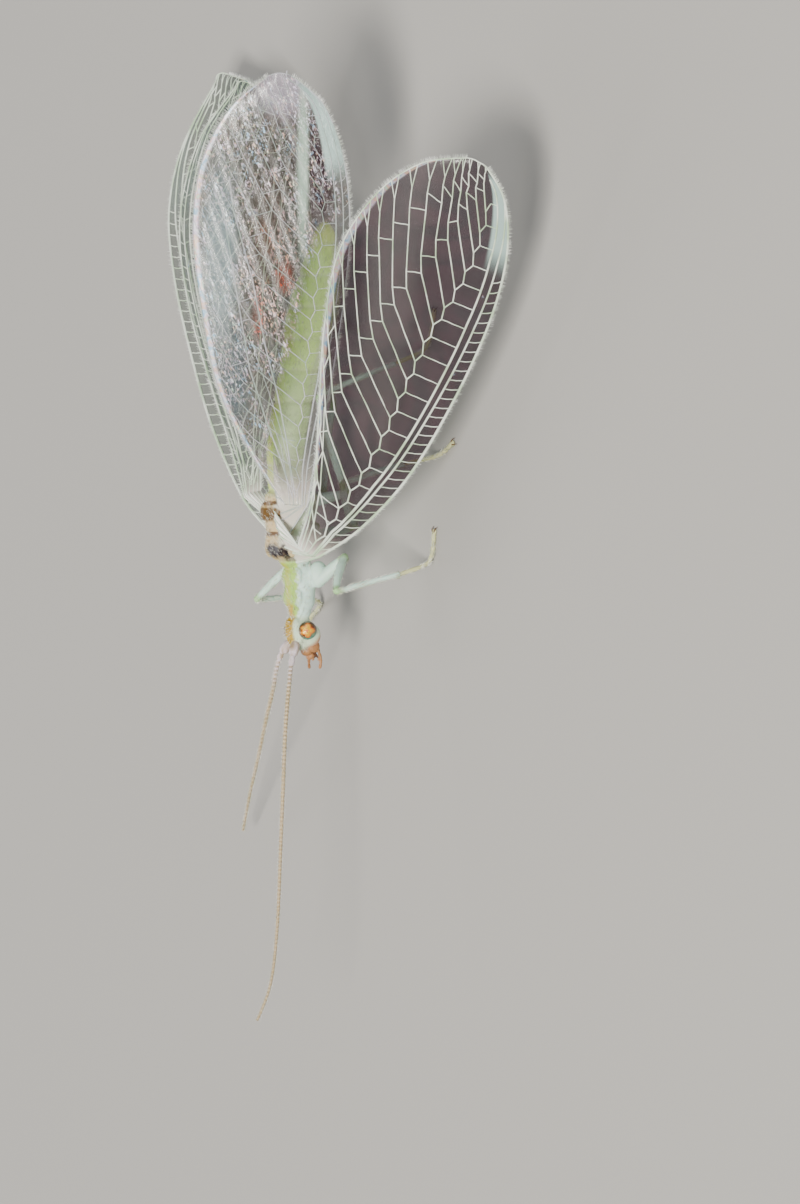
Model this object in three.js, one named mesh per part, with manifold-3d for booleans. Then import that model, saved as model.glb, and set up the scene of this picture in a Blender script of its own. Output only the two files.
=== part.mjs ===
// Green lacewing, life size, in millimetres: +X is forward, +Y is the insect's left, +Z is up.
// It stands on the flats of six feet at the level Z = 0, with the wings half spread: the left pair is
// fanned out and the right pair lies over itself. Each piece is one closed solid, and pieces that meet
// keep a narrow gap between them.
import * as THREE from "three";
import { mergeVertices } from "three/addons/utils/BufferGeometryUtils.js";
import Module from "manifold-3d";

const wasm = await Module();
wasm.setup();

const UP = new THREE.Vector3(0, 0, 1);

// Driving dimensions of the body, whose middle line lies in the plane Y = 0
const BODY_HEIGHT = 2.8;
const JOINT_GAP = 0.25;
const BODY_SIDES = 20;

const HEAD = { x: 2.42, z: BODY_HEIGHT - 0.4, radii: [0.44, 0.52, 0.4], coreHalfWidth: 0.34 };
const VERTEX_BUMP = { x: 2.3, z: BODY_HEIGHT - 0.14, radii: [0.26, 0.3, 0.17] };
const EYE = { x: 2.42, z: BODY_HEIGHT - 0.28, gap: 0.15, radius: 0.27, depth: 0.26 };
const EYE_DOME = [[0, 0], [0, 1], [0.3, 0.93], [0.62, 0.74], [0.86, 0.45], [1, 0]];
const MOUTH = { x: 2.97, z: BODY_HEIGHT - 0.86, radii: [0.27, 0.3, 0.27], headGap: 0.22 };
const UPPER_PALP = { y: 0.17, reach: 0.5, radius: 0.13 };
const LOWER_PALP = { y: 0.1, reach: 0.34, radius: 0.11 };
const PALP_LEAN = { forward: 0.5, outward: 0.35 };

const PROTHORAX = { front: 1.75, rear: 0.65, halfWidth: 0.44, halfHeight: 0.38, z: BODY_HEIGHT - 0.38 };
const MESOTHORAX = { front: 0.4, rear: -0.34, halfWidth: 0.66, halfHeight: 0.56, z: BODY_HEIGHT + 0.02 };
const METATHORAX = { front: -0.59, rear: -1.08, halfWidth: 0.58, halfHeight: 0.5, z: BODY_HEIGHT + 0.05 };
const BARREL = [[0, 0], [0, 0.74], [0.12, 0.9], [0.5, 1], [0.88, 0.9], [1, 0.74], [1, 0]];
const NOTUM_LOBE = { y: 0.26, rise: 0.36, halfWidth: 0.26, halfHeight: 0.24 };

// The abdomen sinks by its droop between the two distances behind the origin
const ABDOMEN = { front: -1.32, rear: -7.4, z: BODY_HEIGHT + 0.06 };
const DROOP = { depth: 1.14, from: 1.5, to: 8 };
const ABDOMEN_RADII = [0.38, 0.47, 0.51, 0.5, 0.53, 0.61, 0.66, 0.54, 0.36];
const SEGMENT_GROOVE = 0.045;
const ABDOMEN_TIP = { front: -7.64, rear: -7.98, radius: 0.26 };
const ABDOMEN_TIP_DOME = [[0, 0], [0, 1], [0.4, 0.85], [0.8, 0.5], [1, 0]];

// Driving dimensions of the limbs
const LIMB_SIDES = 10;
const LEG_RADIUS = 0.25;
const FOOT_PROFILE = [
  [0, 0],
  [0, 0.21],
  [0.12, LEG_RADIUS],
  [0.35, LEG_RADIUS],
  [0.55, LEG_RADIUS],
  [0.75, LEG_RADIUS],
  [0.9, 0.23],
  [1, 0.14],
  [1, 0],
];
const ANTENNA_RADIUS = 0.25;
const ANTENNA_TIP_RADIUS = 0.12;
const SCAPE_LENGTH = 0.5;
const SCAPE_PROFILE = [[0, 0], [0, 0.22], [0.2, ANTENNA_RADIUS], [0.8, ANTENNA_RADIUS], [1, 0.2], [1, 0]];
const FLAGELLUM_LENGTHS = 3;
const FLOOR = { reach: 20, depth: 2 };

// Joints of each leg from the body outwards: hip, trochanter, knee, ankle, touchdown and toe
const LEGS = {
  leg_front_left: [
    [0.95, 0.84, 2.12], [0.42, 1.08, 1.76], [1.3, 2.1, 2.58],
    [0.86, 2.42, 0.95], [0.55, 2.5, 0.2], [-0.2, 2.6, 0.2],
  ],
  leg_front_right: [
    [0.95, -0.84, 2.12], [0.42, -1.08, 1.76], [1.5, -2.1, 2.5],
    [1.4, -2.7, 0.95], [1.57, -3.0, 0.2], [1.95, -3.65, 0.2],
  ],
  leg_middle_left: [
    [-0.1, 0.45, 1.94], [-0.34, 0.95, 1.4], [-1.4, 1.55, 2.1],
    [-1.9, 2.6, 0.9], [-2.1, 2.9, 0.2], [-2.4, 3.5, 0.2],
  ],
  leg_middle_right: [
    [-0.1, -0.45, 1.94], [-0.34, -0.95, 1.4], [-0.6, -2.2, 1.75],
    [-0.9, -3.1, 0.85], [-1.0, -3.4, 0.2], [-1.2, -4.1, 0.2],
  ],
  leg_hind_left: [
    [-1.0, 0.38, 2.04], [-1.16, 0.6, 1.42], [-3.6, 0.98, 2.45],
    [-4.4, 2.15, 0.9], [-4.8, 2.35, 0.2], [-5.7, 2.6, 0.2],
  ],
  leg_hind_right: [
    [-1.0, -0.38, 2.04], [-1.16, -0.6, 1.42], [-3.4, -0.9, 0.95],
    [-5.1, -2.0, 0.5], [-5.6, -2.25, 0.2], [-6.5, -2.6, 0.2],
  ],
};
const ANTENNAE = {
  antenna_left: [
    [2.95, 0.35, 2.86], [3.4, 0.37, 2.93], [4.7, 0.45, 3.1], [7.7, 0.75, 3.41],
    [9.6, 0.85, 3.56], [11.05, 0.85, 3.75], [12, 0.8, 4.12],
  ],
  antenna_right: [
    [3.0, -0.4, 2.84], [3.32, -0.7, 2.73], [3.7, -1.15, 2.54], [4.5, -2.17, 2.17],
    [6.35, -4.8, 1.14], [7.35, -6.1, 0.62],
  ],
};

// Driving dimensions of the wings, with outlines in each wing's own plane: along it, towards the costal edge
const WING_STATIONS = 18;
const WING_THICKNESS = { root: 0.46, tip: 0.3, thinsFrom: 0.6 };
const WING_CAMBER = 0.1;
// Veins rise to their height over the hinge's share of the wing, each on a foot of this width or share
const VEIN = { height: 0.09, foot: 0.13, footShare: 0.035, hingeShare: 0.2 };
const FOREWING = {
  costal: [
    [0.3, 0.3], [1.6, 0.9], [3.6, 1.38], [6.2, 1.54],
    [8.8, 1.46], [10.8, 1.1], [12.2, 0.45], [12.85, -0.3],
  ],
  trailing: [
    [0.3, -0.3], [1.9, -0.55], [4, -1.25], [6.4, -2.1],
    [8.7, -2.64], [10.7, -2.45], [12.1, -1.8], [12.85, -0.85],
  ],
  veins: [[0.2, 0.13], [0.36, 0.21], [0.5, 0.34], [0.64, 0.52], [0.8, 0.7]],
};
const HINDWING = {
  costal: [
    [0.3, 0.25], [1.8, 0.5], [3.6, 0.87], [5.6, 1.22],
    [7.5, 1.42], [9.3, 1.3], [10.8, 0.8], [11.6, -0.1],
  ],
  trailing: [
    [0.3, -0.25], [1.7, -0.5], [3.3, -1.6], [5.3, -2.3],
    [7.3, -2.62], [9.1, -2.42], [10.7, -1.66], [11.6, -0.65],
  ],
  veins: [[0.22, 0.12], [0.4, 0.24], [0.58, 0.46], [0.8, 0.68]],
};
const WINGS = {
  forewing_left: {
    shape: FOREWING,
    root: [0.5, 1.12, 2.94],
    tip: [-8.78, 9.66, 2.44],
    costalSide: [0.44, 0.44, -0.78],
    camberSide: -1,
  },
  forewing_right: {
    shape: FOREWING,
    root: [-0.08, -0.98, 2.4],
    tip: [-11.18, -6.86, 1.5],
    costalSide: [0, -0.92, 0.39],
    camberSide: 1,
  },
  hindwing_left: {
    shape: HINDWING,
    root: [-0.58, 0.98, 3.06],
    tip: [-11.52, 3.42, 4.4],
    costalSide: [0, 0.5, -0.87],
    camberSide: -1,
  },
  hindwing_right: {
    shape: HINDWING,
    root: [-0.88, -1.08, 3.14],
    tip: [-11.16, -5.3, 1.98],
    costalSide: [0, -0.92, 0.39],
    camberSide: 1,
  },
};

// Colours and finishes
const paleGreen = () => new THREE.MeshStandardMaterial({ color: 0xc3d68a, roughness: 0.55, metalness: 0 });
const limbGreen = () => new THREE.MeshStandardMaterial({ color: 0xc9dcc6, roughness: 0.55, metalness: 0 });
const creamThorax = () => new THREE.MeshStandardMaterial({ color: 0xd9cf9f, roughness: 0.6, metalness: 0 });
const goldenEye = () => new THREE.MeshStandardMaterial({ color: 0xc98a3a, roughness: 0.25, metalness: 0.4 });
const pinkishBrown = () => new THREE.MeshStandardMaterial({ color: 0xb48d78, roughness: 0.6, metalness: 0 });
const paleFeeler = () => new THREE.MeshStandardMaterial({ color: 0xd8cdb8, roughness: 0.6, metalness: 0 });
const clearWing = () => new THREE.MeshStandardMaterial({ color: 0xdfe8e2, roughness: 0.2, metalness: 0 });

const lacewing = new THREE.Group();

function vector([x, y, z]) {
  return new THREE.Vector3(x, y, z);
}

function addPiece(name, geometry, material, position = new THREE.Vector3()) {
  const piece = new THREE.Mesh(geometry, material);
  piece.name = name;
  piece.position.copy(position);
  lacewing.add(piece);
  return piece;
}

// A closed shell with shared vertices, without the collapsed triangles at the poles of a lathe
function closedShell(geometry) {
  const shell = geometry.clone();
  shell.deleteAttribute("normal");
  shell.deleteAttribute("uv");
  const merged = mergeVertices(shell, 1e-5);
  const corners = merged.index.array;
  const kept = [];
  for (let i = 0; i < corners.length; i += 3) {
    const [a, b, c] = corners.slice(i, i + 3);
    if (a !== b && b !== c && c !== a) {
      kept.push(a, b, c);
    }
  }
  merged.setIndex(kept);
  return merged;
}

function toSolid(geometry) {
  const shell = closedShell(geometry);
  return new wasm.Manifold(new wasm.Mesh({
    numProp: 3,
    vertProperties: new Float32Array(shell.attributes.position.array),
    triVerts: new Uint32Array(shell.index.array),
  }));
}

// The largest closed surface of a solid, as a geometry
function toGeometry(solid) {
  const bodies = solid.decompose();
  const largest = bodies.reduce((best, body) => (body.volume() > best.volume() ? body : best));
  const mesh = largest.getMesh();
  const geometry = new THREE.BufferGeometry();
  geometry.setAttribute("position", new THREE.BufferAttribute(new Float32Array(mesh.vertProperties), 3));
  geometry.setIndex(new THREE.BufferAttribute(new Uint32Array(mesh.triVerts), 1));
  return geometry;
}

function fuse(geometries) {
  return geometries.map(toSolid).reduce((whole, piece) => whole.add(piece));
}

function ellipsoid(centre, radii, grow = 0) {
  const ball = new THREE.SphereGeometry(1, BODY_SIDES, BODY_SIDES / 2);
  ball.scale(radii[0] + grow, radii[1] + grow, radii[2] + grow);
  ball.translate(centre[0], centre[1], centre[2]);
  return ball;
}

function block(from, to) {
  const box = new THREE.BoxGeometry(to[0] - from[0], to[1] - from[1], to[2] - from[2]);
  box.translate((from[0] + to[0]) / 2, (from[1] + to[1]) / 2, (from[2] + to[2]) / 2);
  return box;
}

// A lathe bent along a curve: the profile gives the radius at fractions of the curve's length
function sweep(curve, profile, sides, flatten = 1) {
  const outline = profile.map(([fraction, radius]) => new THREE.Vector2(radius, fraction));
  const geometry = new THREE.LatheGeometry(outline, sides);
  const vertices = geometry.attributes.position;
  for (let i = 0; i < vertices.count; i += 1) {
    const fraction = vertices.getY(i);
    const tangent = curve.getTangentAt(fraction);
    const side = new THREE.Vector3().crossVectors(UP, tangent).normalize();
    const down = new THREE.Vector3().crossVectors(side, tangent);
    const point = curve.getPointAt(fraction);
    point.addScaledVector(side, vertices.getX(i));
    point.addScaledVector(down, vertices.getZ(i) * flatten);
    vertices.setXYZ(i, point.x, point.y, point.z);
  }
  return geometry;
}

// A stretch of a longer curve, between two fractions of its length
class Stretch extends THREE.Curve {
  constructor(whole, from, to) {
    super();
    this.whole = whole;
    this.from = from;
    this.to = to;
  }

  getPoint(t, target = new THREE.Vector3()) {
    return target.copy(this.whole.getPointAt(THREE.MathUtils.lerp(this.from, this.to, t)));
  }
}

// The middle line of the abdomen, which sinks towards its tip
class AbdomenAxis extends THREE.Curve {
  constructor(front, rear) {
    super();
    this.front = front;
    this.rear = rear;
  }

  getPoint(t, target = new THREE.Vector3()) {
    const x = THREE.MathUtils.lerp(this.front, this.rear, t);
    const sunk = THREE.MathUtils.smoothstep(-x, DROOP.from, DROOP.to);
    return target.set(x, 0, ABDOMEN.z - DROOP.depth * sunk);
  }
}

function buildHead() {
  const centre = [HEAD.x, 0, HEAD.z];
  const reach = 2 * Math.max(...HEAD.radii);
  const between = block(
    [HEAD.x - reach, -HEAD.coreHalfWidth, HEAD.z - reach],
    [HEAD.x + reach, HEAD.coreHalfWidth, HEAD.z + reach],
  );
  const bump = ellipsoid([VERTEX_BUMP.x, 0, VERTEX_BUMP.z], VERTEX_BUMP.radii);
  const capsule = fuse([ellipsoid(centre, HEAD.radii), bump]).intersect(toSolid(between));
  addPiece("head", toGeometry(capsule), paleGreen());

  const seat = HEAD.coreHalfWidth + EYE.gap;
  const profile = EYE_DOME.map(([fraction, radius]) => [fraction, radius * EYE.radius]);
  for (const [name, side] of [["eye_left", 1], ["eye_right", -1]]) {
    const inner = vector([EYE.x, side * seat, EYE.z]);
    const outer = vector([EYE.x, side * (seat + EYE.depth), EYE.z]);
    addPiece(name, sweep(new THREE.LineCurve3(inner, outer), profile, BODY_SIDES), goldenEye());
  }

  const pieces = [ellipsoid([MOUTH.x, 0, MOUTH.z], MOUTH.radii)];
  for (const palp of [UPPER_PALP, LOWER_PALP]) {
    const taper = [[0, 0], [0, palp.radius], [0.8, palp.radius], [1, 0]];
    for (const side of [1, -1]) {
      const root = vector([MOUTH.x, side * palp.y, MOUTH.z]);
      const lean = vector([PALP_LEAN.forward, side * PALP_LEAN.outward, -1]);
      const end = root.clone().addScaledVector(lean, palp.reach);
      pieces.push(sweep(new THREE.LineCurve3(root, end), taper, LIMB_SIDES));
    }
  }
  const mouth = fuse(pieces).subtract(toSolid(ellipsoid(centre, HEAD.radii, MOUTH.headGap)));
  addPiece("mouthparts", toGeometry(mouth), pinkishBrown());
}

function barrel({ front, rear, halfWidth, halfHeight, z }) {
  const profile = BARREL.map(([fraction, radius]) => [fraction, radius * halfWidth]);
  const axis = new THREE.LineCurve3(vector([front, 0, z]), vector([rear, 0, z]));
  return sweep(axis, profile, BODY_SIDES, halfHeight / halfWidth);
}

function buildThorax() {
  addPiece("prothorax", barrel(PROTHORAX), paleGreen());
  for (const [name, ring] of [["mesothorax", MESOTHORAX], ["metathorax", METATHORAX]]) {
    const middle = (ring.front + ring.rear) / 2;
    const lobe = [(ring.front - ring.rear) / 2, NOTUM_LOBE.halfWidth, NOTUM_LOBE.halfHeight];
    const pieces = [barrel(ring)];
    for (const side of [1, -1]) {
      pieces.push(ellipsoid([middle, side * NOTUM_LOBE.y, ring.z + NOTUM_LOBE.rise], lobe));
    }
    addPiece(name, toGeometry(fuse(pieces)), creamThorax());
  }
}

function buildAbdomen() {
  const segments = ABDOMEN_RADII.length - 1;
  const profile = [[0, 0]];
  for (let i = 0; i < segments; i += 1) {
    for (const [within, sunk] of [[0, SEGMENT_GROOVE], [0.16, 0], [0.84, 0]]) {
      const radius = THREE.MathUtils.lerp(ABDOMEN_RADII[i], ABDOMEN_RADII[i + 1], within) - sunk;
      profile.push([(i + within) / segments, radius]);
    }
  }
  profile.push([1, ABDOMEN_RADII[segments] - SEGMENT_GROOVE], [1, 0]);
  const axis = new AbdomenAxis(ABDOMEN.front, ABDOMEN.rear);
  addPiece("abdomen", sweep(axis, profile, BODY_SIDES), paleGreen());

  const tip = ABDOMEN_TIP_DOME.map(([fraction, radius]) => [fraction, radius * ABDOMEN_TIP.radius]);
  const tipAxis = new AbdomenAxis(ABDOMEN_TIP.front, ABDOMEN_TIP.rear);
  addPiece("abdomen_tip", sweep(tipAxis, tip, BODY_SIDES), paleGreen());
}

// The radius along a limb piece: a flat face at its start and a domed end
function limbProfile(length) {
  const dome = Math.min(LEG_RADIUS / length, 0.4);
  const rim = Math.min(0.08 / length, 0.1);
  return [
    [0, 0],
    [0, LEG_RADIUS * 0.84],
    [rim, LEG_RADIUS],
    [1 - dome, LEG_RADIUS],
    [1 - dome * 0.35, LEG_RADIUS * 0.76],
    [1, 0],
  ];
}

// The distance from a joint at which a piece starts, so that it clears the piece before it at any bend
function clearanceAt(before, joint, after) {
  const bend = before.clone().sub(joint).angleTo(after.clone().sub(joint));
  const besideTube = (LEG_RADIUS + JOINT_GAP + LEG_RADIUS * Math.cos(bend)) / Math.sin(bend);
  return bend < Math.PI / 2 ? besideTube : LEG_RADIUS + JOINT_GAP;
}

// A straight leg piece from one joint to the next, which clears the domed end of the piece before it
function legPiece(from, to, clearance) {
  const direction = to.clone().sub(from).normalize();
  const start = from.clone().addScaledVector(direction, clearance);
  const end = to.clone().addScaledVector(direction, LEG_RADIUS);
  const axis = new THREE.LineCurve3(new THREE.Vector3(), end.clone().sub(start));
  return { geometry: sweep(axis, limbProfile(axis.getLength()), LIMB_SIDES), start };
}

function buildLegs() {
  const floor = toSolid(block([-FLOOR.reach, -FLOOR.reach, -FLOOR.depth], [FLOOR.reach, FLOOR.reach, 0]));
  for (const [name, joints] of Object.entries(LEGS)) {
    const [hip, trochanter, knee, ankle, touchdown, toe] = joints.map(vector);
    const pieces = [
      ["coxa", hip, trochanter, 0],
      ["femur", trochanter, knee, clearanceAt(hip, trochanter, knee)],
      ["tibia", knee, ankle, clearanceAt(trochanter, knee, ankle)],
    ];
    for (const [part, from, to, clearance] of pieces) {
      const { geometry, start } = legPiece(from, to, clearance);
      addPiece(`${name}_${part}`, geometry, limbGreen(), start);
    }
    const toTouchdown = touchdown.clone().sub(ankle).setLength(clearanceAt(knee, ankle, touchdown));
    const start = ankle.clone().add(toTouchdown);
    const sole = new THREE.CatmullRomCurve3([start, touchdown, toe]);
    const foot = sweep(sole, FOOT_PROFILE, LIMB_SIDES);
    addPiece(`${name}_foot`, toGeometry(toSolid(foot).subtract(floor)), limbGreen());
  }
}

function buildAntennae() {
  for (const [name, points] of Object.entries(ANTENNAE)) {
    const whole = new THREE.CatmullRomCurve3(points.map(vector));
    const length = whole.getLength();
    const gap = JOINT_GAP / length;
    const scape = SCAPE_LENGTH / length;
    const scapeAxis = new Stretch(whole, 0, scape);
    addPiece(`${name}_scape`, sweep(scapeAxis, SCAPE_PROFILE, LIMB_SIDES), paleFeeler());

    const stretch = (1 - scape) / FLAGELLUM_LENGTHS;
    for (let i = 0; i < FLAGELLUM_LENGTHS; i += 1) {
      const from = scape + stretch * i + gap;
      const axis = new Stretch(whole, from, scape + stretch * (i + 1));
      const last = i === FLAGELLUM_LENGTHS - 1;
      const profile = [[0, 0], [0, ANTENNA_RADIUS]];
      for (const fraction of [0.2, 0.4, 0.6, 0.8]) {
        profile.push([fraction, ANTENNA_RADIUS]);
      }
      profile.push([1, last ? ANTENNA_TIP_RADIUS : ANTENNA_RADIUS], [1, 0]);
      addPiece(`${name}_${i + 1}`, sweep(axis, profile, LIMB_SIDES), paleFeeler());
    }
  }
}

// Heights over the membrane across the wing, from the costal edge at 0 to the trailing edge at 1
function chordLines(veins, along, chord) {
  const foot = Math.min(VEIN.foot / chord, VEIN.footShare);
  const crest = VEIN.height * THREE.MathUtils.smoothstep(along, 0, VEIN.hingeShare);
  const lines = [[0, crest], [foot, 0]];
  for (const [atRoot, atTip] of veins) {
    const at = THREE.MathUtils.lerp(atRoot, atTip, along);
    lines.push([at - foot, 0], [at, crest], [at + foot, 0]);
  }
  lines.push([1 - foot, 0], [1, crest]);
  return lines;
}

// A thin sheet whose two faces are split into triangles alike, with the veins raised in both
function wingGeometry({ costal, trailing, veins }, camberSide) {
  const costalEdge = new THREE.SplineCurve(costal.map(([x, y]) => new THREE.Vector2(x, y)));
  const trailingEdge = new THREE.SplineCurve(trailing.map(([x, y]) => new THREE.Vector2(x, y)));
  const upper = [];
  const lower = [];
  for (let station = 0; station <= WING_STATIONS; station += 1) {
    const along = station / WING_STATIONS;
    const front = costalEdge.getPoint(along);
    const rear = trailingEdge.getPoint(along);
    const thinning = THREE.MathUtils.smoothstep(along, WING_THICKNESS.thinsFrom, 1);
    const half = THREE.MathUtils.lerp(WING_THICKNESS.root, WING_THICKNESS.tip, thinning) / 2;
    for (const [across, height] of chordLines(veins, along, front.distanceTo(rear))) {
      const point = front.clone().lerp(rear, across);
      const middle = camberSide * WING_CAMBER * 4 * across * (1 - across);
      upper.push(point.x, point.y, middle + half + height);
      lower.push(point.x, point.y, middle - half - height);
    }
  }
  const columns = upper.length / 3 / (WING_STATIONS + 1);
  const below = upper.length / 3;
  const indices = [];
  const at = (station, column) => station * columns + column;
  for (let station = 0; station < WING_STATIONS; station += 1) {
    for (let column = 0; column < columns - 1; column += 1) {
      const a = at(station, column);
      const b = at(station, column + 1);
      const c = at(station + 1, column);
      const d = at(station + 1, column + 1);
      indices.push(a, b, c, c, b, d);
      indices.push(below + a, below + c, below + b, below + c, below + d, below + b);
    }
  }
  const wall = (p, q) => indices.push(q, p, below + p, q, below + p, below + q);
  for (let column = 0; column < columns - 1; column += 1) {
    wall(at(0, column), at(0, column + 1));
    wall(at(WING_STATIONS, column + 1), at(WING_STATIONS, column));
  }
  for (let station = 0; station < WING_STATIONS; station += 1) {
    wall(at(station, columns - 1), at(station + 1, columns - 1));
    wall(at(station + 1, 0), at(station, 0));
  }
  const geometry = new THREE.BufferGeometry();
  geometry.setAttribute("position", new THREE.Float32BufferAttribute([...upper, ...lower], 3));
  geometry.setIndex(indices);
  return geometry;
}

function buildWings() {
  for (const [name, { shape, root, tip, costalSide, camberSide }] of Object.entries(WINGS)) {
    const along = vector(tip).sub(vector(root)).normalize();
    const normal = new THREE.Vector3().crossVectors(along, vector(costalSide)).normalize();
    const chord = new THREE.Vector3().crossVectors(normal, along);
    const wing = addPiece(name, wingGeometry(shape, camberSide), clearWing(), vector(root));
    wing.quaternion.setFromRotationMatrix(new THREE.Matrix4().makeBasis(along, chord, normal));
  }
}

buildHead();
buildThorax();
buildAbdomen();
buildLegs();
buildAntennae();
buildWings();

// The origin lies on the floor, under the middle of the whole insect's outline
const outline = new THREE.Box3().setFromObject(lacewing, true);
const middle = outline.getCenter(new THREE.Vector3());
lacewing.position.set(-middle.x, -middle.y, -outline.min.z);

export default lacewing;
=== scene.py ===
"""Green lacewing, life size: skin, eyes, feelers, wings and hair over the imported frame.

Shapes are worked out in millimetres from the insect's own origin, with +X forward, +Y to its left
and Z = 0 at the floor, and each finished mesh is then put in its place in the frame, in metres.
"""
from __future__ import annotations

import logging
import math
from dataclasses import dataclass, field
from enum import Enum
from typing import Callable, Sequence

import bmesh
import bpy
import numpy as np
from mathutils import Matrix, Vector


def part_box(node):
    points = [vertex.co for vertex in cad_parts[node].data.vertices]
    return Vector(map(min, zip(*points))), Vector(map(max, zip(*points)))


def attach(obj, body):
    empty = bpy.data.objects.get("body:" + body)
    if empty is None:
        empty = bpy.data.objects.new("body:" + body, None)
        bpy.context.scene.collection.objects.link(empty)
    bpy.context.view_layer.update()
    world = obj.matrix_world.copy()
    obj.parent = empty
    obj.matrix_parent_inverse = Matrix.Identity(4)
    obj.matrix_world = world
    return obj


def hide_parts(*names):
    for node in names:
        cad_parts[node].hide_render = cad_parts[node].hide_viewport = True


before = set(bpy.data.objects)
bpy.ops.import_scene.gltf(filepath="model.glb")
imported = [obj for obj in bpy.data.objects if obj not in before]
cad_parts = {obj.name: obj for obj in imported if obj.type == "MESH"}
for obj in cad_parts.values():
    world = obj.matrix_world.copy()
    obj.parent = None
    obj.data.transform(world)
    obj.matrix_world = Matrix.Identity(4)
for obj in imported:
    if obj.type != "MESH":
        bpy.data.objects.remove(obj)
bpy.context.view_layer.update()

log = logging.getLogger("lacewing")

MILLIMETRE = 0.001
BODY_HEIGHT = 2.8
PRONOTUM_MIDDLE = Vector((1.2, 0.0, 2.42))
SIDES = (1, -1)
# Vertices nearer than this are joined, in millimetres
SEAM = 0.0005
# The flat map of a wing: millimetres to one unit, and how far up it the wing's middle line lies
FLAT_UNIT = 13.0
FLAT_SHIFT = 3.0

Point = tuple[float, float, float]
Line = list[tuple[Vector, float]]
Table = tuple[tuple[float, float], ...]
Tint = Callable[[np.ndarray, np.ndarray], np.ndarray]
Coats = list[tuple[str, np.ndarray]]
# A ball's middle and half sizes, and its lean in degrees where it has one
Ball = tuple[Point, Point] | tuple[Point, Point, float]
# A painted spot's middle, half sizes, display colour and strength
Spot = tuple[Point, Point, str, float]


class Slot(Enum):
    """The material slots of the record."""

    BODY = "body"
    LIMBS = "limbs"
    EYES = "eyes"
    MOUTHPARTS = "mouthparts"
    ANTENNAE = "antennae"
    WINGS = "wings"


def placement() -> Matrix:
    """Gives the matrix from the insect's millimetres to the frame, found from the prothorax."""
    low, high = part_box("prothorax")
    shift = (low + high) / 2 - PRONOTUM_MIDDLE * MILLIMETRE
    return Matrix.Translation(shift) @ Matrix.Scale(MILLIMETRE, 4)


PLACEMENT = placement()


def colour(code: str) -> tuple[float, float, float, float]:
    """Turns a display colour into the linear one that a shader takes.

    Args:
        code: Six hexadecimal digits, red, green and blue.

    Returns:
        The linear colour with full alpha.
    """
    levels = [int(code[i : i + 2], 16) / 255 for i in (0, 2, 4)]
    linear = [v / 12.92 if v <= 0.04045 else ((v + 0.055) / 1.055) ** 2.4 for v in levels]
    return (*linear, 1.0)


def smoothstep(values: np.ndarray, low: float, high: float) -> np.ndarray:
    """Rises smoothly from 0 at low to 1 at high, or falls where high is below low."""
    share = np.clip((values - low) / (high - low), 0, 1)
    return share * share * (3 - 2 * share)


def spline(points: Sequence[Sequence[float]], parameter: np.ndarray) -> np.ndarray:
    """Runs a smooth curve through points.

    Args:
        points: The points, evenly spaced in the parameter.
        parameter: Places along the curve, from 0 to 1.

    Returns:
        One row of coordinates for each place.
    """
    knots = np.array(points, float)
    last = len(knots) - 1
    scaled = np.clip(parameter, 0, 1) * last
    index = np.minimum(scaled.astype(int), last - 1)
    share = (scaled - index)[:, None]
    before, start = knots[np.maximum(index - 1, 0)], knots[index]
    end, after = knots[index + 1], knots[np.minimum(index + 2, last)]
    leave, arrive = (end - before) / 2, (after - start) / 2
    return (
        (2 * start - 2 * end + leave + arrive) * share**3
        + (3 * end - 3 * start - 2 * leave - arrive) * share**2
        + leave * share
        + start
    )


def levels(table: Sequence[Sequence[float]], places: np.ndarray) -> np.ndarray:
    """Reads a table of places and values at several places."""
    rows = np.array(table)
    return np.interp(places, rows[:, 0], rows[:, 1])


def level(table: Sequence[Sequence[float]], place: float) -> float:
    """Reads a table of places and values at one place."""
    return float(levels(table, place))


def flipped(points: Sequence[Point], side: int) -> list[Point]:
    """Gives points for the left side at 1, or mirrored for the right side at -1."""
    return [(x, y * side, z) for x, y, z in points]


def mirrored(rows: Sequence[tuple]) -> list[tuple]:
    """Gives rows that start with a place once for each side."""
    return [((x, y * side, z), *rest) for side in SIDES for (x, y, z), *rest in rows]


def outward(along: Vector, turn: float) -> Vector:
    """Gives the direction across a line at a turn round it."""
    side = along.orthogonal().normalized()
    return side * math.cos(turn) + along.cross(side) * math.sin(turn)


def smooth_path(points: Sequence[Point], count: int) -> list[Vector]:
    """Gives evenly spread points along a smooth curve.

    Args:
        points: The points that the curve passes.
        count: How many points come back.

    Returns:
        Points at equal steps of the curve's length.
    """
    dense = spline(points, np.linspace(0, 1, 40 * len(points)))
    steps = np.linalg.norm(np.diff(dense, axis=0), axis=1)
    travelled = np.concatenate([[0], np.cumsum(steps)])
    wanted = np.linspace(0, travelled[-1], count)
    columns = [np.interp(wanted, travelled, dense[:, axis]) for axis in range(3)]
    return [Vector(row) for row in np.stack(columns, axis=1)]


def evaluated_mesh(carrier: bpy.types.Object) -> bpy.types.Mesh:
    """Gives an object's finished mesh and removes the object.

    Args:
        carrier: A curve, or a mesh with its modifiers, that isn't in the scene yet.

    Returns:
        The mesh.
    """
    bpy.context.scene.collection.objects.link(carrier)
    evaluated = carrier.evaluated_get(bpy.context.evaluated_depsgraph_get())
    mesh = bpy.data.meshes.new_from_object(evaluated)
    bpy.data.objects.remove(carrier)
    return mesh


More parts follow.
